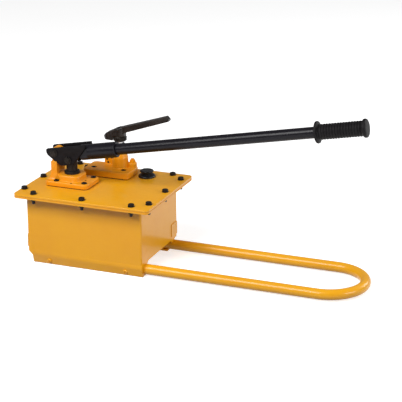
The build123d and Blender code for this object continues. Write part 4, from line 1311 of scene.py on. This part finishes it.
# ------------------------------------------------------------------------------------- valve
@dataclass
class ValveBlock:
    """The valve casting, its bonnet and collar, and the cast lever."""

    base_h: float = 16.0 * MM
    corner: float = 12.0 * MM
    tower_r: float = 20.0 * MM
    tower_top_r: float = 16.0 * MM
    cone_h: float = 12.0 * MM
    boss_r: float = 11.0 * MM
    head_size: tuple[float, float] = (55.0 * MM, 18.0 * MM)
    head_h: float = 37.5 * MM
    head_dx: float = 8.0 * MM
    bonnet_h: float = 24.0 * MM
    bonnet_flats: float = 30.0 * MM
    bonnet_r: float = 12.0 * MM
    port_r: float = 7.3 * MM
    port_depth: float = 13.0 * MM
    plug_hole: tuple[float, float] = (2.6 * MM, 3.6 * MM)
    plug_places: tuple[tuple[float, float], ...] = ((8.0 * MM, 14.0 * MM), (11.0 * MM, 6.0 * MM))
    port_pitch: float = 28.0 * MM
    screw_dx: float = 40.0 * MM
    screw_dy: float = -11.0 * MM
    pocket_r: float = 7.3 * MM
    pocket_depth: float = 8.0 * MM
    spool_r: float = 11.0 * MM
    relief_r: float = 5.0 * MM
    gauge_r: float = 5.4 * MM
    voxel: float = 0.9 * MM
    collar_r: float = 17.0 * MM
    stem_r: float = 7.0 * MM
    flutes: int = 24
    hub_r: float = 16.0 * MM
    heel_r: float = 13.0 * MM
    heel: float = 29.0 * MM
    reach: float = 125.0 * MM
    tip_r: float = 8.0 * MM
    root: float = 11.0 * MM
    rise: float = 62.0 * MM
    deep: float = 20.0 * MM

    def build_casting(self) -> None:
        """Base, tower, port head and relief boss melted into one casting, then machined."""
        low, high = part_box("valve_block")
        tower_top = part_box("valve_bonnet")[1].z - self.bonnet_h
        axis, relief = middle("valve_spool"), middle("relief_screw")
        boss_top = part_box("relief_lock_nut")[0].z
        deck = low.z + self.base_h
        head_top = low.z + self.head_h
        head_x = axis.x + self.head_dx - self.head_size[0] / 2
        body = slab("valve_casting", low, (high.x, high.y, deck), self.corner, 2.4 * MM)
        tower = Piece.turned("tower", [(self.tower_r, low.z + MM), (self.tower_r, tower_top - self.cone_h),
                                       (self.tower_top_r, tower_top)]).move((axis.x, axis.y, 0.0))
        boss = Piece.turned("relief_boss", [(self.boss_r, low.z + MM), *profile(
            self.boss_r, boss_top, (0.0, -2.5), (-0.9, -0.8), (-2.5, 0.0))], 48)
        boss.move((relief.x, relief.y, 0.0))
        head = slab("port_head", (head_x - self.head_size[0] / 2, high.y - self.head_size[1], low.z + MM),
                    (head_x + self.head_size[0] / 2, high.y, head_top), 4.0 * MM, 2.5 * MM)
        body.carve(tower, boss, head, operation="UNION")
        body.cast(self.voxel, 9)
        cutters = [Piece.rod("spool_bore", self.spool_r, tower_top - 7 * MM, tower_top + MM, axis.xy),
                   Piece.rod("relief_bore", self.relief_r, boss_top - 26 * MM, boss_top + MM, relief.xy)]
        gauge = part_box("gauge_port_plug")
        cutters.append(Piece.rod("gauge_bore", self.gauge_r, -12 * MM, MM).lay(
            Lie.ALONG_X, (low.x, (gauge[0].y + gauge[1].y) / 2, low.z + 8 * MM)))
        height = (deck + head_top) / 2 + MM
        for side in (-1, 1):
            mouth = Piece.turned("port", [(self.port_r, -self.port_depth), *profile(
                self.port_r, 0.0, (0.0, -0.8), (0.9, 0.1), (0.9, 2.0))])
            cutters.append(mouth.lay(Lie.ALONG_Y, (head_x + side * self.port_pitch / 2, high.y, height)))
        hole_r, hole_deep = self.plug_hole
        for dx, dz in self.plug_places:
            face = (head_x - self.head_size[0] / 2 + dx, high.y - self.head_size[1], deck + dz)
            cutters.append(Piece.rod("oil_way", hole_r, -MM, hole_deep, sides=24).lay(Lie.ALONG_Y, face))
        centre_x = (low.x + high.x) / 2
        centre_y = (low.y + high.y) / 2
        places = [(centre_x + side * self.screw_dx, centre_y + self.screw_dy, deck) for side in (-1, 1)]
        for x, y, top in (*places, (head_x, high.y - self.head_size[1] / 2, head_top)):
            seat = top - self.pocket_depth
            cutters.append(Piece.rod("pocket", self.pocket_r, seat, seat + 30 * MM, (x, y)))
        body.carve(*cutters)
        body.done(Body.BASE, CAST_YELLOW, "valve_block", angle=40.0)

    def build_bonnet(self) -> None:
        """The hexagon bonnet with its turned neck."""
        low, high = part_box("valve_bonnet")
        axis = middle("valve_spool")
        foot = high.z - self.bonnet_h
        bonnet = Piece.rod("valve_bonnet_hex", self.bonnet_flats / math.sqrt(3), foot, foot + 10 * MM,
                           sides=6)
        bonnet.move(turn=(0.0, 0.0, math.pi / 6))
        edge = profile(self.bonnet_flats / 2, foot, (2.4, 0.0), (2.4, 9.0), (0.0, 10.0))
        bonnet.carve(Piece.turned("chamfer", edge), operation="INTERSECT")
        r = self.bonnet_r
        rings = [(r - MM, low.z), *profile(r, foot, (-1.0, 8.0), (0.0, 10.0))]
        rings += profile(r, high.z, (0.0, -5.0), (-1.0, -4.4), (-1.0, -3.4), (0.0, -2.8), (0.0, -1.0),
                         (-1.0, 0.0))
        bonnet.carve(Piece.turned("neck", rings), operation="UNION")
        bonnet.carve(Piece.rod("stem_bore", 7.05 * MM, low.z - MM, high.z + MM))
        bonnet.mend().move((axis.x, axis.y, 0.0)).done(Body.BASE, OXIDE, "valve_bonnet")

    def build_collar(self) -> None:
        """The fluted collar under the lever."""
        low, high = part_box("lever_collar")
        axis = middle("lever_collar")
        r = self.collar_r
        rings = [(self.stem_r, low.z), *profile(r, low.z, (-2.5, 0.0), (-0.3, 2.2), (0.0, 2.7)),
                 *profile(r, high.z, (0.0, -2.7), (-0.3, -2.2), (-2.5, 0.0)), (self.stem_r, high.z)]
        collar = Piece.turned("lever_collar_fluted", rings, 2 * self.flutes, hollow=True)
        step = math.pi / self.flutes
        every_other = lambda c: int(math.atan2(c.y, c.x) % (2 * math.pi) / step) % 2 == 0
        flute = lambda c, n: (abs(n.z) < 0.2 and c.xy.length > r - 0.4 * MM
                              and abs(c.z - (low.z + high.z) / 2) < 0.1 * MM and every_other(c))
        collar.inset(flute, 0.35 * MM, -0.9 * MM, each=True)
        collar.move((axis.x, axis.y, 0.0)).done(Body.VALVE, OXIDE, "lever_collar", angle=25.0)

    def build_lever(self) -> None:
        """Hub, drooping heel and rising arm melted into one cast lever."""
        axis = middle("valve_spool")
        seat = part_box("lever_collar")[1].z
        back, end = -self.heel - self.heel_r, self.reach + self.tip_r
        lever = Piece.block("valve_lever_cast", (back, -self.hub_r, -11 * MM),
                            (15 * MM, self.hub_r, self.deep))
        lever.slice((1 * MM - self.heel, 0.0, 9 * MM), (9 * MM - self.deep, 0.0, self.heel - 5 * MM))
        lever.slice((back + 6 * MM, 0.0, 4 * MM), (-5.0, 0.0, 22.0))
        lever.slice((back, 0.0, -3 * MM), (-5.0, 0.0, -1.0))
        lever.slice((back + MM, 0.0, -8 * MM), (-3.0, 0.0, -5.0))
        lever.slice((back, 0.0, -3 * MM), (-7.0, 0.0, 6.0))
        arm = Piece.block("arm", (-13 * MM, -self.root, 0.0), (end, self.root, self.rise))
        arm.slice((-4 * MM, 0.0, self.deep), (self.deep - self.rise, 0.0, end - 3 * MM))
        arm.slice((14 * MM, 0.0, 9 * MM), (self.rise - 21 * MM, 0.0, 14 * MM - end))
        arm.slice((end - 7 * MM, 0.0, self.rise), (4.0, 0.0, 7.0))
        narrow = (self.root - self.tip_r) / self.reach
        for side in (-1, 1):
            arm.slice((0.0, side * self.root, 0.0), (narrow, side * 1.0, 0.0))
        arm.bevel(lambda a, b: a.y * b.y > 0 and abs(a.x - b.x) > 30 * MM, 2.6 * MM, 4)
        plan = Piece.rod("plan", self.hub_r, -0.02, 0.03)
        for share in (0.25, 0.5, 0.75, 1.0):
            radius = self.hub_r + (self.heel_r - self.hub_r) * share
            lump = Piece.rod("plan_step", radius, -0.02, 0.03, (-self.heel * share, 0.0))
            plan.carve(lump, operation="UNION")
        lever.carve(plan, operation="INTERSECT")
        lever.carve(Piece.rod("over_collar", self.collar_r + 1.5 * MM, -0.03, 0.0))
        lever.carve(arm, operation="UNION")
        lever.cast(0.7 * MM, 14)
        lever.carve(Piece.rod("stem_bore", self.stem_r, -MM, 12 * MM),
                    Piece.rod("screw_way", 6.0 * MM, 14.8 * MM, 0.05))
        lever.move((axis.x, axis.y, seat)).done(Body.VALVE, LEVER_BLACK, "valve_lever", angle=50.0)

    def build(self) -> None:
        """Builds and dresses the valve block."""
        self.build_casting()
        self.build_bonnet()
        self.build_collar()
        self.build_lever()
        dress(GASKET, "valve_block_gasket")
        dress(OXIDE, "valve_block_screws", "gauge_port_plug", "lever_screw")
        dress(CAST_YELLOW, "relief_lock_nut", "relief_screw")
        dress(STEEL, "valve_spool", "relief_ball", "relief_spring")
        dress(NITRILE, "stem_seal")


# ------------------------------------------------------------------------------------- filler
@dataclass
class Filler:
    """The filler neck with its strainer, and the fluted screw cap."""

    flange_r: float = 21.5 * MM
    bore_r: float = 13.5 * MM
    neck_r: float = 16.0 * MM
    cap_r: float = 17.0 * MM
    spigot_r: float = 8.0 * MM
    waist_r: float = 12.5 * MM
    waist_h: float = 4.4 * MM
    rim_r: float = 13.4 * MM
    flutes: int = 20

    def build_neck(self) -> None:
        """The domed flange on the lid and the neck below it."""
        low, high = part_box("filler_neck")
        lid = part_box("lid")[1].z
        axis = middle("filler_neck")
        f, n, b = self.flange_r, self.neck_r, self.bore_r
        rings = [(b, low.z), (n - MM, low.z), (n, low.z + MM), (n, lid - 0.2 * MM)]
        rings += profile(f, lid, (-0.8, 0.0), (0.0, 0.9), (0.0, 2.4), (-0.5, 4.0), (-1.7, 5.3), (-3.5, 6.3))
        rings += [(f - 5.6 * MM, high.z), *profile(b, high.z, (0.6, 0.0), (0.0, -0.6))]
        neck = Piece.turned("filler_neck_moulded", rings, 72, hollow=True)
        neck.move((axis.x, axis.y, 0.0)).done(Body.BASE, CAP_PLASTIC, "filler_neck")

    def build_cap(self) -> None:
        """The cap: thin spigot, waist, and a thin dished disc with a fluted rim."""
        low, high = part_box("filler_cap")
        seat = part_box("filler_cap_seal")[1].z
        axis = middle("filler_cap")
        r = self.cap_r
        under = seat + self.waist_h
        rings = [*profile(self.spigot_r, low.z, (-1.0, 0.0), (0.0, 1.0)), (self.spigot_r, seat),
                 (self.rim_r, seat), (self.waist_r, seat + 0.8 * MM), (self.waist_r, under)]
        rings += profile(r, under, (-1.6, 0.0), (-0.4, 0.5), (0.0, 1.2))
        rings += profile(r, high.z, (0.0, -1.7), (-0.5, -0.8), (-1.7, -0.2), (-3.2, 0.0), (-4.8, -0.2),
                         (-5.6, -0.8))
        rings.append((2.0 * MM, high.z - MM))
        cap = Piece.turned("filler_cap_fluted", rings, 2 * self.flutes)
        step = math.pi / self.flutes
        flute = lambda c, n: (abs(n.z) < 0.1 and c.xy.length > r - 0.3 * MM and c.z > under + 1.3 * MM
                              and int(math.atan2(c.y, c.x) % (2 * math.pi) / step) % 2 == 0)
        cap.inset(flute, 0.35 * MM, -0.6 * MM, each=True)
        cap.move((axis.x, axis.y, 0.0)).done(Body.CAP, CAP_PLASTIC, "filler_cap", angle=30.0)

    def build(self) -> None:
        """Builds and dresses the filler."""
        self.build_neck()
        self.build_cap()
        dress(STEEL, "filler_strainer")
        dress(NITRILE, "filler_cap_seal")


# ------------------------------------------------------------------------------------- studio
@dataclass
class Studio:
    """Floor, soft lights and the camera."""

    azimuth: float = math.radians(21.16)
    elevation: float = math.radians(18.98)
    distance: float = 3.4093
    aim: tuple[float, float, float] = (0.0045, 0.0, 0.17135)
    lens: float = 128.72
    floor_half: float = 14.0
    sky: Colour = (1.0, 1.0, 1.0)
    sky_strength: float = 0.24

    def build_floor(self) -> None:
        """A wide flat sheet of paper just under the feet, kept out of the bounced light."""
        bpy.ops.object.select_all(action="DESELECT")
        bpy.ops.mesh.primitive_plane_add(size=2 * self.floor_half, location=(0.0, 0.0, -0.0002))
        floor = Piece(bpy.context.object, "studio_floor")
        floor.obj.data.materials.append(Floor().material())
        floor.obj.visible_diffuse = False

    def add_light(self, name: str, at: Point, to: Point, size: tuple[float, float], power: float) -> None:
        """A white softbox.

        Args:
            name: The light's name.
            at: Where it hangs.
            to: Where it points.
            size: Its width and height.
            power: Watts.
        """
        data = bpy.data.lights.new(name, "AREA")
        data.shape = "RECTANGLE"
        data.size, data.size_y = size
        data.energy = power
        light = bpy.data.objects.new(name, data)
        bpy.context.scene.collection.objects.link(light)
        light.location = at
        light.rotation_euler = (Vector(to) - Vector(at)).to_track_quat("-Z", "Y").to_euler()

    def build_camera(self) -> None:
        """The camera, looking at the pump from the front right and above."""
        data = bpy.data.cameras.new("camera")
        data.lens = self.lens
        data.sensor_width = 36.0
        data.clip_end = 100.0
        camera = bpy.data.objects.new("camera", data)
        bpy.context.scene.collection.objects.link(camera)
        out = Vector((math.sin(self.azimuth) * math.cos(self.elevation),
                      -math.cos(self.azimuth) * math.cos(self.elevation), math.sin(self.elevation)))
        camera.location = Vector(self.aim) + out * self.distance
        camera.rotation_euler = (-out).to_track_quat("-Z", "Y").to_euler()
        bpy.context.scene.camera = camera

    def build(self) -> None:
        """Builds the studio."""
        self.build_floor()
        world = bpy.data.worlds.new("studio")
        world.use_nodes = True
        world.node_tree.nodes["Background"].inputs["Color"].default_value = (*self.sky, 1.0)
        world.node_tree.nodes["Background"].inputs["Strength"].default_value = self.sky_strength
        bpy.context.scene.world = world
        bpy.context.scene.view_settings.view_transform = "Standard"
        self.add_light("key_softbox", (-0.8, -2.0, 2.2), (0.0, 0.0, 0.1), (1.8, 1.4), 90.0)
        self.add_light("side_softbox", (2.8, -0.5, 0.9), (0.0, 0.0, 0.15), (1.4, 1.0), 34.0)
        self.add_light("back_softbox", (2.0, 2.3, 1.3), (0.0, 0.0, 0.12), (1.4, 1.0), 30.0)
        self.build_camera()


def main() -> None:
    """Builds every sub-assembly in order."""
    logging.basicConfig(level=logging.INFO, format="%(message)s")
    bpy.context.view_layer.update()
    for part in (Reservoir(), FootFrame(), PumpBlock(), Handle(), ValveBlock(), Filler(), Studio()):
        part.build()
        log.info("%s built", type(part).__name__)


if __name__ == "__main__":
    main()
